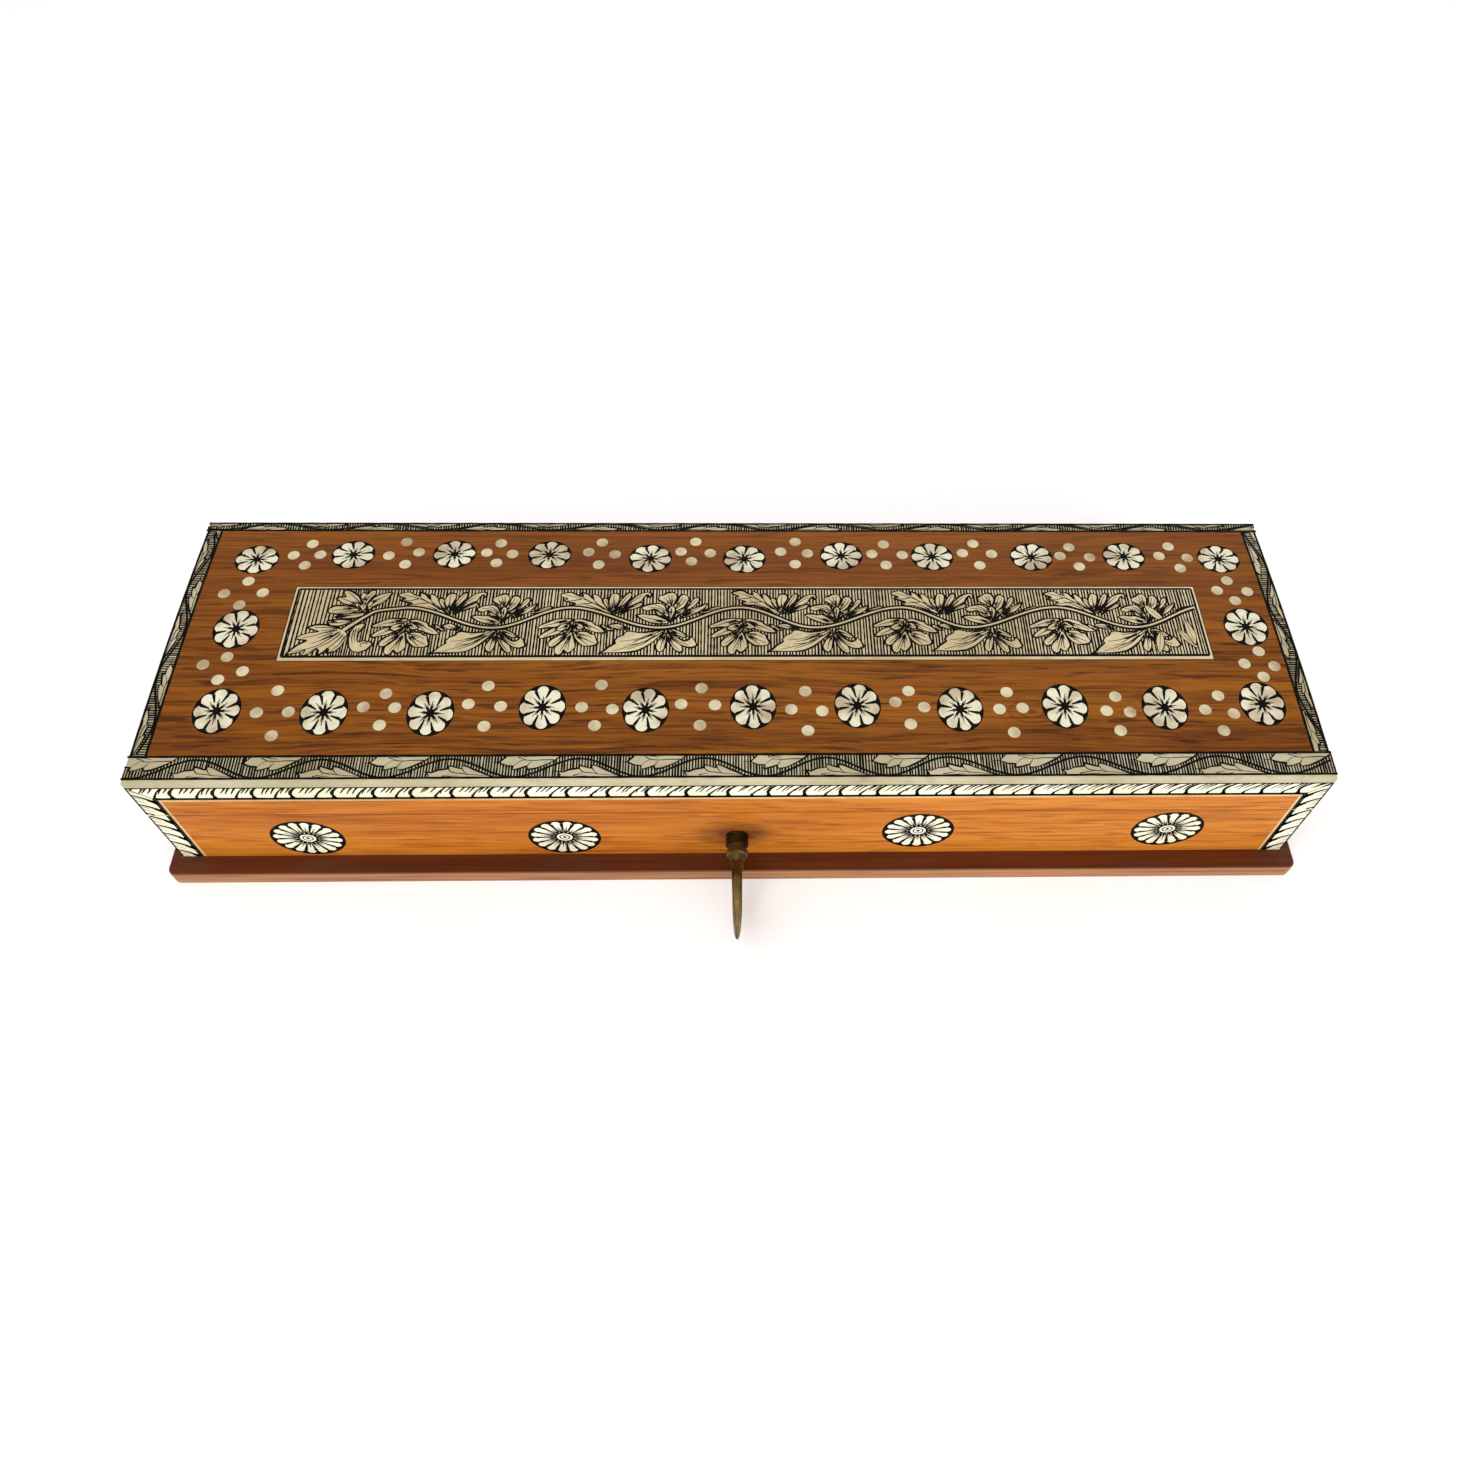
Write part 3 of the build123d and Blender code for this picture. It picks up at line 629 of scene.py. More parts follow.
LOWER_FLOWER = [
    ([(262, 512), (180, 503), (100, 508), (30, 533), (-32, 562), (-20, 582), (40, 577), (110, 575), (170, 562), (225, 545)], [[(240, 530), (120, 538), (10, 565)]]),
    ([(222, 560), (150, 573), (90, 582), (30, 610), (-22, 650), (0, 668), (60, 655), (110, 645), (165, 622), (210, 595)], [[(205, 580), (110, 612), (20, 650)]]),
    ([(240, 615), (195, 625), (140, 650), (100, 668), (62, 700), (60, 732), (85, 746), (120, 738), (150, 712), (180, 702), (215, 668), (240, 640)],
     [[(220, 640), (150, 685), (95, 722)], [(225, 650), (170, 690), (140, 712)]]),
    ([(275, 520), (330, 510), (390, 528), (430, 540), (452, 566), (490, 585), (545, 636), (495, 642), (440, 630), (400, 612), (360, 600), (330, 572)],
     [[(300, 530), (400, 570), (500, 622)], [(320, 545), (380, 582), (420, 606)]]),
    ([(275, 640), (330, 620), (390, 625), (420, 648), (448, 652), (462, 685), (480, 726), (450, 747), (400, 750), (350, 745), (308, 715), (282, 680)],
     [[(290, 650), (370, 690), (450, 728)], [(300, 665), (350, 705), (390, 738)], [(310, 640), (380, 655), (430, 680)]]),
    ([(240, 622), (190, 680), (150, 715), (118, 742), (112, 775), (122, 802), (150, 815), (180, 800), (192, 776), (205, 790), (232, 800), (262, 782), (290, 748), (284, 700), (270, 655), (256, 622)],
     [[(240, 650), (190, 735), (160, 785)], [(250, 655), (232, 720), (228, 775)], [(246, 650), (212, 735), (196, 765)]]),
    ([(240, 560), (205, 545), (150, 560), (122, 592), (160, 612), (205, 600), (228, 585)], [[(225, 568), (180, 578), (145, 592)]]),
    ([(250, 562), (225, 600), (200, 632), (206, 650), (236, 628), (256, 595)], [[(248, 580), (228, 612), (214, 636)]]),
    ([(255, 558), (262, 602), (290, 632), (304, 642), (298, 602), (278, 570)], [[(264, 575), (280, 605), (296, 628)]]),
    ([(265, 552), (305, 543), (340, 560), (362, 590), (330, 602), (292, 590)], [[(278, 562), (310, 572), (340, 588)]]),
]
UPPER_FLOWER = [
    ([(1062, 548), (990, 556), (920, 546), (860, 525), (806, 497), (800, 484), (850, 474), (905, 480), (950, 478), (1000, 498), (1045, 522)], [[(1040, 535), (930, 515), (840, 492)]]),
    ([(1042, 492), (990, 457), (940, 432), (890, 446), (848, 436), (840, 414), (880, 394), (930, 384), (985, 380), (1022, 400), (1045, 440), (1062, 480)],
     [[(1045, 470), (980, 425), (880, 412)], [(1040, 450), (990, 412), (940, 396)]]),
    ([(1062, 402), (1010, 372), (965, 345), (972, 312), (1000, 305), (1028, 288), (1070, 278), (1104, 294), (1117, 330), (1102, 370), (1086, 402)],
     [[(1075, 395), (1035, 350), (1005, 325)], [(1080, 390), (1075, 340), (1070, 300)], [(1078, 392), (1055, 340), (1040, 305)]]),
    ([(1092, 402), (1122, 350), (1136, 312), (1165, 294), (1198, 304), (1216, 335), (1202, 370), (1182, 402), (1142, 430), (1112, 446)],
     [[(1105, 420), (1140, 370), (1165, 315)], [(1112, 425), (1165, 375), (1192, 330)]]),
    ([(1140, 472), (1170, 420), (1214, 386), (1238, 350), (1262, 324), (1294, 318), (1302, 345), (1280, 376), (1250, 402), (1216, 432), (1180, 462)], [[(1150, 460), (1210, 405), (1280, 338)]]),
    ([(1150, 502), (1200, 466), (1258, 416), (1310, 390), (1362, 370), (1364, 382), (1342, 414), (1300, 446), (1252, 470), (1200, 492)], [[(1165, 492), (1250, 440), (1340, 386)]]),
    ([(1062, 472), (1050, 432), (1070, 400), (1100, 408), (1112, 440), (1096, 480), (1082, 522), (1070, 535)], [[(1078, 420), (1080, 470), (1076, 515)]]),
    ([(1110, 472), (1130, 440), (1160, 424), (1192, 408), (1182, 440), (1152, 472), (1120, 502), (1092, 532)], [[(1105, 510), (1140, 465), (1180, 420)]]),
    ([(1052, 512), (1000, 492), (960, 472), (944, 438), (990, 455), (1032, 482)], [[(1040, 500), (1000, 478), (960, 452)]]),
]
UPPER_SPRAY = [
    ([(600, 470), (540, 460), (480, 440), (420, 418), (360, 397), (290, 398), (240, 382), (278, 366), (230, 352), (180, 336), (214, 320), (165, 302), (150, 286), (200, 268), (246, 265),
      (300, 292), (338, 300), (330, 270), (382, 284), (412, 316), (430, 330), (420, 294), (452, 290), (490, 320), (512, 352), (532, 392), (572, 440)],
     [[(590, 462), (500, 402), (400, 350), (300, 312), (190, 286)], [(480, 392), (440, 345), (428, 305)], [(400, 350), (350, 320), (335, 290)], [(420, 362), (340, 370), (270, 380)], [(330, 325), (270, 338), (210, 338)]]),
    ([(592, 452), (545, 412), (510, 362), (504, 330), (530, 324), (562, 350), (592, 392), (606, 432)], [[(592, 430), (555, 380), (525, 342)]]),
    ([(600, 442), (564, 390), (554, 340), (574, 295), (606, 282), (642, 290), (650, 320), (630, 372), (612, 424)], [[(606, 425), (596, 360), (600, 300)]]),
    ([(615, 462), (630, 400), (660, 342), (700, 290), (730, 277), (746, 295), (734, 330), (700, 372), (660, 412), (634, 452)], [[(628, 440), (672, 365), (724, 292)]]),
    ([(650, 472), (700, 430), (760, 395), (820, 370), (842, 382), (820, 406), (770, 422), (710, 442)], [[(670, 458), (740, 415), (820, 385)]]),
    ([(640, 457), (690, 400), (730, 355), (780, 310), (830, 285), (880, 276), (908, 290), (904, 316), (885, 322), (880, 300), (852, 318), (832, 350), (790, 376), (730, 402), (680, 432)],
     [[(655, 440), (730, 375), (830, 305)]]),
]
LOWER_SPRAY = [
    ([(1036, 608), (980, 610), (900, 620), (820, 625), (742, 613), (700, 624), (690, 644), (640, 664), (612, 700), (622, 714), (570, 745), (530, 780), (488, 802), (560, 796), (640, 798),
      (720, 795), (800, 785), (870, 755), (930, 715), (980, 670), (1022, 630)],
     [[(1025, 618), (920, 680), (780, 735), (600, 782)], [(1000, 615), (890, 660), (760, 690), (660, 700)], [(900, 690), (820, 720), (700, 735)], [(960, 650), (860, 720), (720, 770)]]),
    ([(1036, 630), (1000, 670), (970, 720), (958, 752), (970, 782), (1002, 796), (1032, 770), (1047, 720), (1050, 670)], [[(1035, 650), (1010, 720), (1000, 775)]]),
    ([(1050, 640), (1060, 690), (1090, 740), (1120, 780), (1160, 802), (1187, 790), (1180, 750), (1140, 700), (1100, 660)], [[(1062, 660), (1105, 730), (1160, 785)]]),
    ([(1060, 620), (1110, 650), (1150, 680), (1200, 702), (1240, 690), (1252, 668), (1280, 690), (1304, 742), (1262, 762), (1210, 756), (1160, 730), (1100, 680)], [[(1080, 640), (1150, 705), (1230, 738)]]),
    ([(1065, 610), (1110, 598), (1160, 618), (1200, 640), (1222, 666), (1190, 672), (1140, 656), (1100, 636)], [[(1085, 612), (1140, 632), (1200, 658)]]),
]
LEAFLETS = [
    ([(742, 600), (690, 570), (640, 550), (590, 554), (568, 572), (612, 592), (660, 602), (702, 606)], [[(720, 596), (650, 578), (590, 568)]]),
    ([(560, 610), (520, 590), (495, 560), (530, 566), (575, 590), (600, 612)], []),
    ([(1316, 448), (1370, 426), (1420, 410), (1482, 398), (1502, 410), (1460, 436), (1400, 450), (1340, 462)], [[(1340, 450), (1420, 428), (1490, 408)]]),
]
PMID = 5.475
PX0, PX1, PY0, PY1 = PANEL
IN = 0.85                                     # plain margin, wider at the front
clipbox = (PX0 + IN, PX1 - IN, PY0 + 1.35, PY1 - 0.8)
CRESTS = [-82.9, -42.0, 0.6, 41.5, 80.9, 120.6]
TROUGHS = [-61.1, -19.6, 19.3, 58.4, 100.3]
V_CR, V_TR = 4.6, -1.95

panel = Art(clipbox)


def motif(art, parts, ox, kx, pivot, turn=0.0, k=1.0):
    """Places traced shapes about a crest, turned and scaled a little about a pivot."""
    pv = tr([pivot])[0]
    c, s = math.cos(turn), math.sin(turn)
    for outline, lines in parts:
        def put(q):
            a = tr(q) - pv
            a = np.stack([a[:, 0] * c - a[:, 1] * s, a[:, 0] * s + a[:, 1] * c], 1) * k
            a = a + pv
            return np.stack([ox + a[:, 0] * kx, PMID + np.clip(a[:, 1], -11.0, 11.0)], 1)
        art.shape(put(outline), [put(ln) for ln in lines], w=0.44, lw=0.33, ten=0.8, shade=5, reach=0.56)


steps = [CRESTS[i + 1] - CRESTS[i] for i in range(5)]
for i, cx in enumerate(CRESTS[:5]):
    kx = steps[i] / 41.0 * 0.99
    j = lambda a=0.05: rnd.uniform(-a, a)
    motif(panel, LOWER_FLOWER, cx, 1.0, (270, 505), j(0.07), 1 + j(0.04))
    motif(panel, UPPER_SPRAY, cx, kx, (615, 475), j(0.05), 1 + j(0.03))
    motif(panel, LOWER_SPRAY, cx, kx, (1040, 600), j(0.04), 1 + j(0.03))
    motif(panel, UPPER_FLOWER, cx, kx, (1075, 545), j(0.07), 1 + j(0.04))
    motif(panel, LEAFLETS, cx, kx, (700, 600))


# left end: flower, leaf, long end leaf and scroll, in mm on the lid
for o, ls in [
    ([(-100.43, 7.01), (-98.15, 8.05), (-95.72, 8.33), (-93.22, 8.53), (-93.71, 7.48), (-95.42, 6.68), (-97.86, 6.52)],
     [[(-99.82, 7.09), (-96.81, 7.49), (-94.12, 8.05)]]),
    ([(-95.59, 10.15), (-98.32, 10.64), (-101.00, 10.81), (-102.46, 9.83), (-102.31, 8.46), (-99.99, 7.97), (-97.39, 8.13), (-95.66, 8.86), (-94.35, 9.66)],
     [[(-95.39, 9.91), (-98.45, 9.67), (-101.59, 9.02)], [(-95.88, 9.18), (-98.29, 8.78), (-100.08, 8.46)]]),
    ([(-95.45, 10.56), (-97.44, 10.89), (-99.44, 11.62), (-101.22, 13.10), (-100.39, 13.67), (-99.03, 13.75), (-99.75, 15.24), (-98.99, 15.90), (-97.58, 15.41), (-95.89, 14.04), (-94.70, 11.95)],
     [[(-95.32, 10.88), (-97.68, 12.19), (-100.05, 13.18)], [(-95.09, 11.70), (-97.04, 13.84), (-98.71, 15.24)]]),
    ([(-94.70, 11.95), (-95.35, 13.83), (-94.90, 15.16), (-93.68, 14.66), (-93.00, 15.82), (-91.67, 15.74), (-91.63, 14.41), (-92.53, 13.09), (-93.31, 11.54)],
     [[(-94.35, 12.11), (-94.13, 13.67), (-93.70, 14.41)], [(-93.78, 12.03), (-92.94, 14.00), (-92.09, 15.24)]]),
    ([(-93.08, 11.29), (-91.97, 13.50), (-90.28, 14.58), (-88.00, 15.24), (-87.55, 14.82), (-88.33, 13.09), (-89.51, 11.53), (-91.13, 10.47), (-92.54, 9.26)],
     [[(-92.48, 10.31), (-90.86, 12.52), (-88.33, 14.57)], [(-92.01, 10.15), (-90.37, 11.45), (-89.03, 12.76)]]),
    ([(-95.81, 10.15), (-96.26, 11.29), (-95.59, 11.70), (-94.68, 11.13), (-93.97, 11.70), (-93.14, 10.56), (-93.44, 9.42), (-93.93, 8.69), (-94.60, 9.66)],
     [[(-95.46, 10.97), (-94.69, 10.15), (-94.03, 9.26)], [(-93.87, 11.13), (-94.00, 10.15)]]),
    ([(-102.14, 5.65), (-100.58, 6.21), (-98.28, 6.28), (-96.29, 6.04), (-97.21, 5.00), (-98.94, 4.05), (-101.02, 4.37)],
     [[(-101.58, 5.33), (-99.15, 5.17), (-97.10, 5.72)]]),
    ([(-97.82, 3.02), (-100.14, 3.94), (-102.42, 4.61), (-104.58, 4.62), (-106.61, 3.75), (-105.18, 3.03), (-103.58, 2.40), (-105.88, 2.01), (-107.71, 1.23), (-108.85, 0.13), (-107.26, -0.18), (-106.00, -0.42), (-107.85, -1.74), (-109.20, -3.20), (-110.09, -4.81), (-108.20, -4.36), (-106.65, -3.86), (-105.71, -3.29), (-105.90, -4.13), (-106.29, -5.13), (-104.49, -4.52), (-103.11, -2.98), (-102.49, -3.48), (-102.42, -4.91), (-100.96, -4.07), (-100.35, -2.83), (-100.10, -3.49), (-100.29, -4.37), (-98.37, -3.69), (-97.15, -2.14), (-96.60, -0.20), (-96.42, 1.76)],
     [[(-98.31, 2.35), (-100.87, -0.19), (-104.05, -2.52), (-109.05, -3.89)], [(-98.99, 2.75), (-101.94, 2.16), (-104.19, 1.18), (-107.23, 0.40)], [(-99.08, 3.18), (-101.32, 3.66), (-104.71, 3.74)], [(-97.90, 1.84), (-100.41, -0.97), (-103.10, -2.71), (-105.58, -4.63)], [(-97.35, 1.37), (-99.12, -1.36), (-101.73, -4.26)], [(-96.82, 0.97), (-97.83, -1.75), (-99.69, -3.88)], [(-98.73, 2.16), (-100.72, 0.59), (-102.92, -0.58), (-104.59, -1.35)], [(-99.64, 2.95), (-101.47, 2.87), (-102.95, 2.63)]]),
    ([(-93.29, 5.12), (-94.95, 4.13), (-95.82, 2.15), (-95.90, -0.20), (-95.25, -2.53), (-94.12, -3.77), (-92.55, -4.08), (-90.87, -3.32), (-89.69, -1.69), (-90.24, -0.84), (-92.12, -0.52), (-93.06, -0.91), (-93.70, -0.21), (-93.70, 1.95), (-92.41, 4.52)],
     [[(-90.86, -1.30), (-91.80, -1.14), (-92.53, -1.45), (-92.53, -2.15), (-91.97, -2.23)], [(-94.98, 2.94), (-95.10, 0.58), (-94.55, -1.76)], [(-94.50, 3.33), (-94.56, 0.97), (-94.14, -0.98)]]),
]:
    panel.shape(o, ls, w=0.44, lw=0.34, ten=0.45, shade=4, reach=0.5)

# right end: small upright sprays by the rising stem
for (bx_, by_, ang, ln_) in [(108.5, 0.5, 2.2, 7.5), (111.0, -1.5, -1.0, 7.0), (113.5, 2.0, -1.45, 8.5), (106.5, -2.0, -1.8, 7.0)]:
    t = np.array([math.cos(ang), math.sin(ang)])
    nn = np.array([-t[1], t[0]])
    b0 = np.array([bx_, PMID + by_ - 1.2])
    out = [b0, b0 + t * ln_ * 0.3 + nn * 0.9, b0 + t * ln_ * 0.65 + nn * 1.1, b0 + t * ln_, b0 + t * ln_ * 0.62 - nn * 0.9, b0 + t * ln_ * 0.28 - nn * 0.8]
    panel.shape(out, [[b0 + t * 0.4, b0 + t * ln_ * 0.5, b0 + t * ln_ * 0.85]], w=0.25, lw=0.18)

# the stem: a smooth wave through crests and troughs, two lines with bone between
stem = [(-97.62, 2.780 - PMID), (-95.14, 5.160 - PMID), (-92.61, 7.400 - PMID), (-89.96, 9.090 - PMID)]
ext = []
for i in range(5):
    ext.append((CRESTS[i], V_CR))
    ext.append((TROUGHS[i], V_TR))
ext.append((CRESTS[5] - 0.5, V_CR + 0.4))
wave = []
for (x0, v0), (x1, v1) in zip(ext[:-1], ext[1:]):
    for t in np.linspace(0, 1, 40, endpoint=False):
        wave.append((x0 + (x1 - x0) * t, v0 + (v1 - v0) * (1 - math.cos(math.pi * t)) / 2))
wave.append(ext[-1])
stem = np.vstack([catmull(stem + [wave[0]], False)[:-1], np.array(wave)])
stem[:, 1] += PMID
d = np.gradient(stem, axis=0)
nn = np.stack([-d[:, 1], d[:, 0]], 1) / np.hypot(d[:, 0], d[:, 1])[:, None]
half = np.concatenate([np.linspace(0.76, 0.54, 60), np.full(len(stem) - 60, 0.54)])
poly = np.vstack([stem + nn * half[:, None], (stem - nn * half[:, None])[::-1]])
poly = np.vstack([poly, poly[:1]])
panel.cover(poly)
panel.polys.append(poly)
panel.add(stem + nn * half[:, None], np.full(len(stem), 0.25))
panel.add(stem - nn * half[:, None], np.full(len(stem), 0.33))
for i in range(8, len(stem) - 8, 3):
    # short shading ticks on the underside
    a_, b_ = stem[i] - nn[i] * half[i], stem[i] - nn[i] * half[i] * 0.35
    panel.add(dense([a_, b_], 0.1), np.linspace(0.09, 0.03, len(dense([a_, b_], 0.1))))
# frame line and hatched ground: wide at the left end, close elsewhere
x = PX0 + IN + 0.5
us = []
while x < PX1 - IN - 0.2:
    us.append(x)
    x += 0.98 if x < -100.5 else 0.62 if -100.5 <= x < -93 else 0.78
for h0, h1 in ((clipbox[2], clipbox[3]),):
    panel.hatch(us, h0, h1, 0.42, jitter=0.09)
panel.clip = None
x0, x1, y0, y1 = clipbox
for a, b in (((x0, y0), (x1, y0)), ((x1, y0), (x1, y1)), ((x1, y1), (x0, y1)), ((x0, y1), (x0, y0))):
    n_ = 120 if abs(a[0] - b[0]) > 50 else 24
    q = np.linspace(a, b, n_)
    panel.strokes.append((q, np.full(n_, 0.36 if a[1] == b[1] == y0 else 0.29)))
bd = Build()
bd.art(panel, on_top)

# dark joint line round the panel
edge = Art()
e = 0.0
for a, b in (((PX0, PY0), (PX1, PY0)), ((PX1, PY0), (PX1, PY1)), ((PX1, PY1), (PX0, PY1)), ((PX0, PY1), (PX0, PY0))):
    q = np.linspace(a, b, 100)
    edge.strokes.append((q, np.full(100, 0.09)))
bd.art(edge, on_top)
bd.object("engraved_panel", "lid", M_LAC, facing=(0, 0, 1))

# ------------------------------------------------------------------ borders of the lid: wave with half leaves on a hatched ground
LOWER_LEAF = ([(155, 371), (118, 345), (96, 318), (140, 322), (200, 300), (284, 288), (290, 262), (340, 275), (402, 290), (410, 262), (460, 272), (520, 298), (590, 325), (650, 350), (690, 371)],
              [[(290, 288), (310, 312), (345, 326), (400, 330), (460, 340), (640, 353)], [(410, 285), (430, 316), (465, 339)]])
UPPER_LEAF = ([(860, 163), (810, 190), (765, 235), (830, 262), (890, 268), (885, 300), (950, 290), (1006, 272), (1020, 298), (1090, 290), (1180, 255), (1262, 212), (1300, 163)],
              [[(1250, 212), (1150, 212), (1060, 218), (980, 213), (940, 228), (890, 270)], [(1010, 275), (1050, 222)]])


def border(length, width, lam=30.0, phase=0.0, v_line=1.0, lead=0.0):
    """A strip from u=0 to length, v=0 at the outer edge. Returns its drawing."""
    v0, v1 = v_line, width - 0.12
    k = (v1 - v0) / 5.3
    art = Art((0.05, length - 0.05, v0, v1))
    n = int(length / lam) + 3
    per = [lam * rnd.uniform(0.93, 1.07) for _ in range(n)]
    peaks = [phase - lam]
    for q in per:
        peaks.append(peaks[-1] + q)
    wave_ = []
    for i in range(len(peaks) - 1):
        a, b = peaks[i], peaks[i + 1]
        kk = (b - a) / 31.0
        mid_ = a + (b - a) * 0.5
        lo = [((p[0] - 290) / 37.5 * kk + a, v0 + (370 - p[1]) / 38.9 * k) for p in LOWER_LEAF[0]]
        li = [[((p[0] - 290) / 37.5 * kk + a, v0 + (370 - p[1]) / 38.9 * k) for p in ln] for ln in LOWER_LEAF[1]]
        art.shape(lo, li, w=0.38, lw=0.27, ten=0.6, shade=4, reach=0.5)
        art.stroke([lo[2], (lo[2][0] - 0.9, lo[2][1] + 0.1)], 0.26, 0.1)
        up = [((p[0] - 900) / 37.5 * kk + mid_, v1 - (p[1] - 165) / 38.9 * k) for p in UPPER_LEAF[0]]
        ui = [[((p[0] - 900) / 37.5 * kk + mid_, v1 - (p[1] - 165) / 38.9 * k) for p in ln] for ln in UPPER_LEAF[1]]
        art.shape(up, ui, w=0.38, lw=0.27, ten=0.6, shade=4, reach=0.5)
        art.stroke([up[2], (up[2][0] - 1.8, up[2][1])], 0.26, 0.1)
        for t in np.linspace(0, 1, 24, endpoint=False):
            wave_.append((a + (b - a) * t, v0 + 0.12 + (4.25 * k) * (1 + math.cos(2 * math.pi * t)) / 2))
    us_ = np.arange(0.3, length, 0.67)
    art.hatch(us_, v0, v1, 0.42, jitter=0.08)
    art.add(np.array(wave_), np.full(len(wave_), 0.27))
    art.clip = None
    for vv, ww in ((v0, 0.55), (width - 0.28, 0.62)):
        q = np.linspace((0, vv), (length, vv), max(8, int(length / 2)))
        art.strokes.append((q, np.full(len(q), ww / 2) * (1 + 0.12 * np.sin(q[:, 0] * 0.9))))
    return art


bd = Build()
bd.art(border(L, B_FRONT, 30.0, 17.5), lambda p: on_top(np.stack([p[:, 0] - HX, p[:, 1] - HY], 1)))
bd.art(border(L, B_BACK, 29.0, 12.0, v_line=0.6), lambda p: on_top(np.stack([HX - p[:, 0], HY - p[:, 1]], 1)))
yl, yh = -HY + B_FRONT, HY - B_BACK
bd.art(border(yh - yl, B_END, 28.0, 9.0, v_line=0.7), lambda p: on_top(np.stack([p[:, 1] - HX, yh - p[:, 0]], 1)))
bd.art(border(yh - yl, B_END, 28.0, 16.0, v_line=0.7), lambda p: on_top(np.stack([HX - p[:, 1], yl + p[:, 0]], 1)))
bd.object("engraved_borders", "lid", M_LAC, facing=(0, 0, 1))

# ------------------------------------------------------------------ rosettes and pegs on the lid
ROSETTES = [(-124.3, 26.6), (-99.9, 28.3), (-73.8, 28.5), (-49.1, 28.3), (-22.8, 27.0), (1.7, 26.8), (27.2, 28.0), (51.1, 27.7),
            (77.4, 27.6), (102.0, 27.8), (127.1, 26.9), (-123.9, 3.3), (128.6, 3.6), (-122.7, -21.2), (-97.6, -21.7), (-72.6, -22.0),
            (-46.4, -20.4), (-21.9, -21.2), (3.7, -20.4), (28.7, -20.2), (53.3, -21.3), (78.7, -20.5), (102.9, -21.0), (126.9, -20.0)]


def rosette(b, cx, cy, r, ry, mp, petals=8, rot=0.0):
    na = 16 * petals
    ang = np.linspace(0, 2 * math.pi, na, endpoint=False)
    per = 2 * math.pi / petals
    jit = [rnd.uniform(0.94, 1.04) for _ in range(petals)]

    def sq(q):
        return mp(np.stack([cx + q[:, 0] * r, cy + q[:, 1] * ry], 1))

    rf = []
    for a in ang:
        i = int(round((a - rot) / per)) % petals
        al = (a - rot) - round((a - rot) / per) * per
        dd, rho = 0.70, 0.276 * jit[i]
        sv = rho * rho - (dd * math.sin(al)) ** 2
        rf.append(dd * math.cos(al) + math.sqrt(sv) if sv > 0 else 0.64)
    rf = np.minimum(np.array(rf), 0.97)
    dirs = np.stack([np.cos(ang), np.sin(ang)], 1)
    b.band(dirs * rf[:, None], dirs * 1.02, sq)
    for i in range(petals):
        a = rot + (i + 0.5) * per + rnd.uniform(-0.04, 0.04)
        t = np.array([math.cos(a), math.sin(a)])
        bend = np.array([-t[1], t[0]]) * rnd.uniform(-0.05, 0.05)
        p = catmull([t * 0.80, t * 0.60 + bend * 0.4, t * rnd.uniform(0.34, 0.42) + bend], False, 0.05)
        flat_ribbon(b, p, np.linspace(0.078, 0.026, len(p)), sq)
        a = rot + i * per + rnd.uniform(-0.05, 0.05)
        for da, k, w0 in ((0.0, 0.56, 0.042), (0.16, 0.40, 0.028), (-0.16, 0.40, 0.028)):
            t = np.array([math.cos(a + da), math.sin(a + da)])
            p = dense([t * 0.12, t * k * rnd.uniform(0.9, 1.1)], 0.1)
            flat_ribbon(b, p, np.linspace(w0, 0.008, len(p)), sq)
    k = np.linspace(0, 2 * math.pi, 14, endpoint=False)
    b.poly(np.stack([np.cos(k), np.sin(k)], 1) * 0.18, sq)


def flat_ribbon(b, p, hw, sq):
    d = np.gradient(p, axis=0)
    ln = np.hypot(d[:, 0], d[:, 1])
    ln[ln < 1e-9] = 1
    nrm = np.stack([-d[:, 1], d[:, 0]], 1) / ln[:, None]
    q0, q1 = sq(p + nrm * hw[:, None]), sq(p - nrm * hw[:, None])
    b.v.append(np.hstack([q0, q1]).reshape(-1, 3))
    for i in range(len(p) - 1):
        o = b.n + 2 * i
        b.f.append((o, o + 1, o + 3, o + 2))
    b.n += 2 * len(p)


bd = Build()
for x_, y_ in ROSETTES:
    rosette(bd, x_, y_, 5.5, 6.3 if y_ < -10 else 6.0 if y_ < 12 else 4.9, on_top, 8, rnd.uniform(-0.25, 0.25))
bd.object("lac_of_lid_rosettes", "lid", M_LAC, facing=(0, 0, 1))

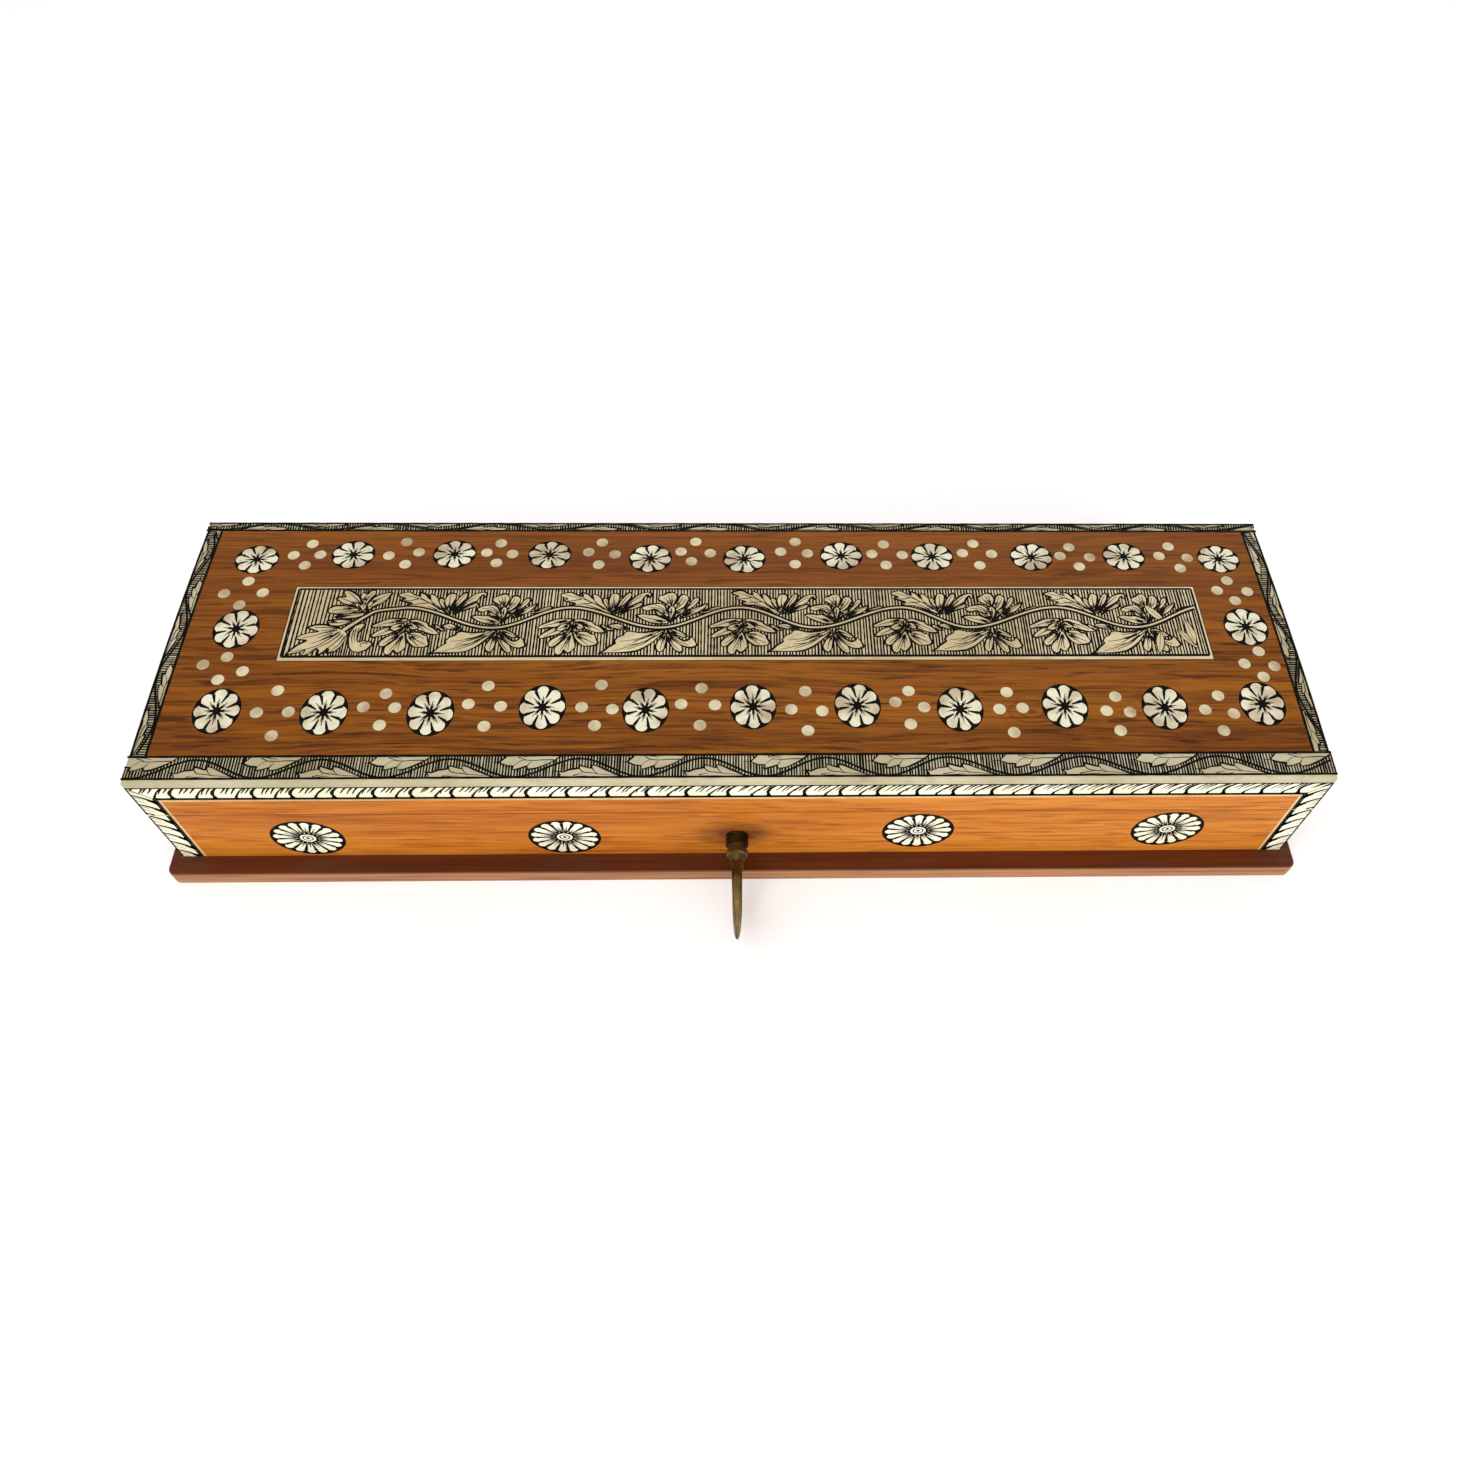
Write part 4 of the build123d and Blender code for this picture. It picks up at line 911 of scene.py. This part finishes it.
# ------------------------------------------------------------------ rope band on the lid's faces
def rope(art, u0, u1, zt, zb, pitch=9.1):
    """Rope twist between u0 and u1 along a face, top line zt, foot line zb. Clipped by the mitres."""
    h = zt - zb
    u = u0
    art.stroke([(u0, zt - 0.16), (u1, zt - 0.16)], 0.42, smooth=False)
    foot = []
    while u < u1 + pitch:
        p = pitch * rnd.uniform(0.92, 1.08)
        s = 0.9 + 0.35 * (u - u0) / max(1, (u1 - u0))      # more slant towards the right
        f = lambda x, y: (u + x * p, zb + y * h)
        # dark separator, thick in its lower half
        c = catmull([f(0.27 * s, 1.0), f(0.15 * s, 0.88), f(0.03, 0.62), f(-0.01, 0.34), f(0.06, 0.05)], False, 0.2)
        t = np.linspace(0, 1, len(c))
        art.add(c, 0.17 + 0.27 * np.sin(np.clip(t, 0, 1) * math.pi * 0.86) ** 1.5)
        # line between the large and the small lobe
        m = 0.57 + rnd.uniform(-0.03, 0.03)
        c = catmull([f(m + 0.36 * s, 1.0), f(m + 0.15 * s, 0.62), f(m, 0.2)], False, 0.2)
        art.add(c, np.linspace(0.16, 0.28, len(c)))
        for q in (0.24, 0.36, 0.48, 0.74, 0.86):
            q += rnd.uniform(-0.03, 0.03)
            c = catmull([f(q + 0.19 * s, 0.96), f(q + 0.08, 0.72), f(q - 0.01, rnd.uniform(0.38, 0.55))], False, 0.3)
            art.add(c, np.linspace(0.27, 0.11, len(c)))
        # dark notches at the foot
        art.fill([f(m - 0.13, 0.0), f(m - 0.06, 0.09), f(m - 0.01, 0.34), f(m + 0.04, 0.10), f(m + 0.13, 0.0)])
        art.fill([f(-0.12, 0.0), f(-0.06, 0.11), f(-0.012, 0.38), f(0.045, 0.14), f(0.13, 0.0)])
        u += p
    art.stroke([(u0, zb + 0.22), (u1, zb + 0.22)], 0.6, smooth=False)


def feathers(art, u_out, u_in, z0, z1, down=True, pitch=4.2):
    """Slanted lobes along a corner strip, dark gaps at the inner side."""
    w = u_in - u_out
    sgn = 1 if w > 0 else -1
    z = z1 + 4.5
    while z > z0 - 0.5:
        p = pitch * rnd.uniform(0.93, 1.07)
        f = lambda a, b: (u_out + w * a, z - b * p)
        c = catmull([f(0.0, 0.0), f(0.30, 0.20), f(0.66, 0.52), f(1.0, 0.95)], False, 0.25)
        art.add(c, np.linspace(0.26, 0.56, len(c)) * 0.9)
        for q in (0.26, 0.58):
            c = catmull([f(0.06, q), f(0.28, q + 0.16), f(0.5, q + 0.36)], False, 0.3)
            art.add(c, np.linspace(0.12, 0.03, len(c)))
        art.fill([f(1.0, 0.30), f(0.88, 0.62), f(0.56, 0.62), f(0.84, 0.98), f(1.0, 1.42)])
        z -= p
    art.stroke([(u_in - sgn * 0.25, z0), (u_in - sgn * 0.25, z1)], 0.5, smooth=False)
    art.stroke([(u_out + sgn * 0.2, z0), (u_out + sgn * 0.2, z1)], 0.4, smooth=False)


def clip_poly(art, poly):
    """Keeps only what is inside a convex polygon."""
    poly = np.asarray(poly, float)
    closed = np.vstack([poly, poly[:1]])
    new = []
    for p, hw in art.strokes:
        Art.split(p, hw, inside(poly, p), new)
    art.strokes = new
    fills = []
    area = 0.5 * np.sum(closed[:-1, 0] * closed[1:, 1] - closed[1:, 0] * closed[:-1, 1])
    for q in art.fills:
        q = list(map(np.array, q))
        for a, b in zip(closed[:-1], closed[1:]):
            if area < 0:
                a, b = b, a
            out = []
            for i in range(len(q)):
                p0, p1 = q[i - 1], q[i]
                s0 = (b[0] - a[0]) * (p0[1] - a[1]) - (b[1] - a[1]) * (p0[0] - a[0])
                s1 = (b[0] - a[0]) * (p1[1] - a[1]) - (b[1] - a[1]) * (p1[0] - a[0])
                if (s0 >= 0) != (s1 >= 0):
                    out.append(p0 + (p1 - p0) * s0 / (s0 - s1))
                if s1 >= 0:
                    out.append(p1)
            q = out
            if len(q) < 3:
                break
        if len(q) >= 3:
            fills.append(np.array(q))
    art.fills = fills


M0 = Z_BAND - BAND
ZS = M0 - STRING
FACES = {"front": (on_front, HX, 0.0), "back": (on_back, HX, 0.0), "left": (on_left, HY, 1.2), "right": (on_right, HY, 1.2)}
for side, (mp, h, dd) in FACES.items():
    e = h - dd
    lidb, caseb = Build(), Build()
    a = Art()
    rope(a, -e, e, Z_BAND, M0)
    clip_poly(a, [(-e, Z_BAND), (-e, Z_BAND - dd * BAND / STRIP - 0.001), (-h + STRIP, M0), (h - STRIP, M0), (e, Z_BAND - dd * BAND / STRIP - 0.001), (e, Z_BAND)])
    lidb.art(a, mp)
    for s in (-1, 1):
        a = Art()
        feathers(a, s * h, s * (h - STRIP), ZL, Z_BAND + 1)
        clip_poly(a, [(s * e, ZL + 0.02), (s * (h - STRIP), ZL + 0.02), (s * (h - STRIP), M0), (s * e, Z_BAND - dd * BAND / STRIP)])
        lidb.art(a, mp)
        mit = Art()
        mit.stroke([(s * e, Z_BAND - dd * BAND / STRIP), (s * (h - STRIP), M0)], 0.22, smooth=False)
        lidb.art(mit, mp)
        a = Art()
        feathers(a, s * h, s * (h - STRIP), PL_T, ZB)
        clip_poly(a, [(s * e, PL_T + 0.02), (s * (h - STRIP), PL_T + 0.02), (s * (h - STRIP), ZB - 0.02), (s * e, ZB - 0.02)])
        caseb.art(a, mp)
    for s in (-1, 1):
        for bb, z0_, z1_ in ((lidb, ZL, M0), (caseb, PL_T, ZB)):
            seam = Art()
            seam.stroke([(s * (h - STRIP - 0.3), z0_ + 0.02), (s * (h - STRIP - 0.3), z1_ - (0.3 if bb is lidb else 0.02))], 0.55, smooth=False)
            bb.art(seam, mp)
    seam = Art()
    seam.stroke([(-(h - STRIP - 0.1), M0 - 0.22), (h - STRIP - 0.1, M0 - 0.22)], 0.4, smooth=False)
    lidb.art(seam, mp)
    f = {"front": (0, -1, 0), "back": (0, 1, 0), "left": (-1, 0, 0), "right": (1, 0, 0)}[side]
    lidb.object(f"engraved_lid_{side}", "lid", M_LAC, facing=f)
    caseb.object(f"engraved_case_{side}", "case", M_LAC, facing=f)

# ------------------------------------------------------------------ rosettes on the case's faces


def sunflower(b, cx, cz, ra, rb, mp, petals=16):
    """Narrow bone petals on a black disc, shaded towards a small ringed eye."""
    def sq(q):
        return mp(np.stack([cx + (q[:, 0]) * ra, cz + (q[:, 1]) * rb], 1))
    per = 2 * math.pi / petals
    na = petals * 14
    ang = np.linspace(0, 2 * math.pi, na, endpoint=False)
    rot = rnd.uniform(0, per)
    al = (ang - rot + per / 2) % per - per / 2
    tip = 0.93 - 0.20 * (np.abs(al) / (per / 2)) ** 2.6
    d_ = np.stack([np.cos(ang), np.sin(ang)], 1)
    b.band(d_ * tip[:, None], d_ * 1.015, sq)
    ray = lambda a, r0, r1: dense([np.array([math.cos(a), math.sin(a)]) * r0, np.array([math.cos(a), math.sin(a)]) * r1], 0.12)
    for i in range(petals):
        p = ray(rot + (i + 0.5) * per + rnd.uniform(-0.02, 0.02), 0.80, 0.34)
        flat_ribbon(b, p, np.linspace(0.055, 0.012, len(p)), sq)
        a2 = rot + i * per
        for da, r1, w0 in ((0.0, 0.62, 0.032), (0.11, 0.52, 0.024), (-0.11, 0.52, 0.024)):
            p = ray(a2 + da, 0.22, r1 * rnd.uniform(0.85, 1.15))
            flat_ribbon(b, p, np.linspace(w0, 0.004, len(p)), sq)
    for r0, w in ((0.235, 0.014), (0.135, 0.018)):
        k = np.linspace(0, 2 * math.pi, 40)
        flat_ribbon(b, np.stack([np.cos(k), np.sin(k)], 1) * r0, np.full(40, w), sq)
    k = np.linspace(0, 2 * math.pi, 16, endpoint=False)
    b.poly(np.stack([np.cos(k), np.sin(k)], 1) * 0.055, sq)


bd = Build()
for x_, z_ in ((-105.9, 13.4), (-43.0, 13.2), (44.6, 15.4), (107.0, 15.6)):
    sunflower(bd, x_, z_, 8.8, 8.3, on_front)
bd.object("lac_of_front_rosettes", "case", M_LAC, facing=(0, -1, 0))
bd = Build()
for x_ in (-107.0, -43.0, 43.0, 107.0):
    sunflower(bd, x_, 14.5, 8.8, 8.3, on_back)
bd.object("lac_of_back_rosettes", "case", M_LAC, facing=(0, 1, 0))
bd = Build()
sunflower(bd, 0, 14.5, 8.8, 8.3, on_left)
bd.object("lac_of_left_rosette", "case", M_LAC, facing=(-1, 0, 0))
bd = Build()
sunflower(bd, 0, 14.5, 8.8, 8.3, on_right)
bd.object("lac_of_right_rosette", "case", M_LAC, facing=(1, 0, 0))

# ------------------------------------------------------------------ floor, light, camera
fm = N("floor_pale")
fm.b.inputs["Base Color"].default_value = (0.90, 0.90, 0.895, 1)
fm.b.inputs["Roughness"].default_value = 0.75
fn = fm.noise(fm.map(fm.co, (3, 3, 3)), 1.0, 2, 0.5)
fm.link(fm.ramp(fn, [(0.3, (0.925, 0.925, 0.925)), (0.7, (0.94, 0.94, 0.94))]), fm.b.inputs["Base Color"])
me = bpy.data.meshes.new("floor")
me.from_pydata([(-3, -3, 0), (3, -3, 0), (3, 3, 0), (-3, 3, 0)], [], [(0, 1, 2, 3)])
me.materials.append(fm.m)
floor = bpy.data.objects.new("floor", me)
bpy.context.scene.collection.objects.link(floor)

w = bpy.data.worlds.new("studio")
bpy.context.scene.world = w
w.use_nodes = True
w.node_tree.nodes["Background"].inputs[0].default_value = (1, 1, 1, 1)
w.node_tree.nodes["Background"].inputs[1].default_value = 0.62


def area(name, loc, to, size, power, color=(1, 1, 1), sy=None):
    d_ = bpy.data.lights.new(name, "AREA")
    d_.energy = power
    d_.size = size
    if sy:
        d_.shape = "RECTANGLE"
        d_.size_y = sy
    d_.color = color
    o = bpy.data.objects.new(name, d_)
    o.location = loc
    o.rotation_euler = (Vector(to) - Vector(loc)).to_track_quat("-Z", "Y").to_euler()
    bpy.context.scene.collection.objects.link(o)
    return o


area("key_light", (-0.25, -0.45, 0.95), (0, 0, 0.02), 1.0, 7.2, (1, 0.998, 0.992))
area("fill_front", (0.45, -1.1, 0.28), (0, 0, 0.02), 0.8, 9.5, (1, 0.998, 0.992))
area("fill_back", (0.2, 0.9, 0.9), (0, 0, 0.02), 1.0, 3.2, (1, 1, 1))

cam_d = bpy.data.cameras.new("camera")
cam_d.sensor_width = 36.0
cam_d.lens = 36.0 * 1156.57 / 1457.0
cam_d.shift_x = -47.3 / 1457.0
cam_d.clip_start, cam_d.clip_end = 0.01, 20
cam = bpy.data.objects.new("camera", cam_d)
bpy.context.scene.collection.objects.link(cam)
pt, yw, rl = math.radians(56.159), math.radians(-2.763), math.radians(2.097)
fwd = Vector((0, math.cos(pt), -math.sin(pt)))
up = Vector((0, math.sin(pt), math.cos(pt)))
rt = Vector((1, 0, 0))
rz = Matrix(((math.cos(yw), -math.sin(yw), 0), (math.sin(yw), math.cos(yw), 0), (0, 0, 1)))
fwd, up, rt = rz @ fwd, rz @ up, rz @ rt
rt, up = rt * math.cos(rl) + up * math.sin(rl), -rt * math.sin(rl) + up * math.cos(rl)
m = Matrix.Identity(4)
for i in range(3):
    m[i][0], m[i][1], m[i][2] = rt[i], up[i], -fwd[i]
m[0][3], m[1][3], m[2][3] = 0.00168, -0.17854, 0.26734
cam.matrix_world = m
bpy.context.scene.camera = cam
bpy.context.scene.view_settings.view_transform = "Standard"
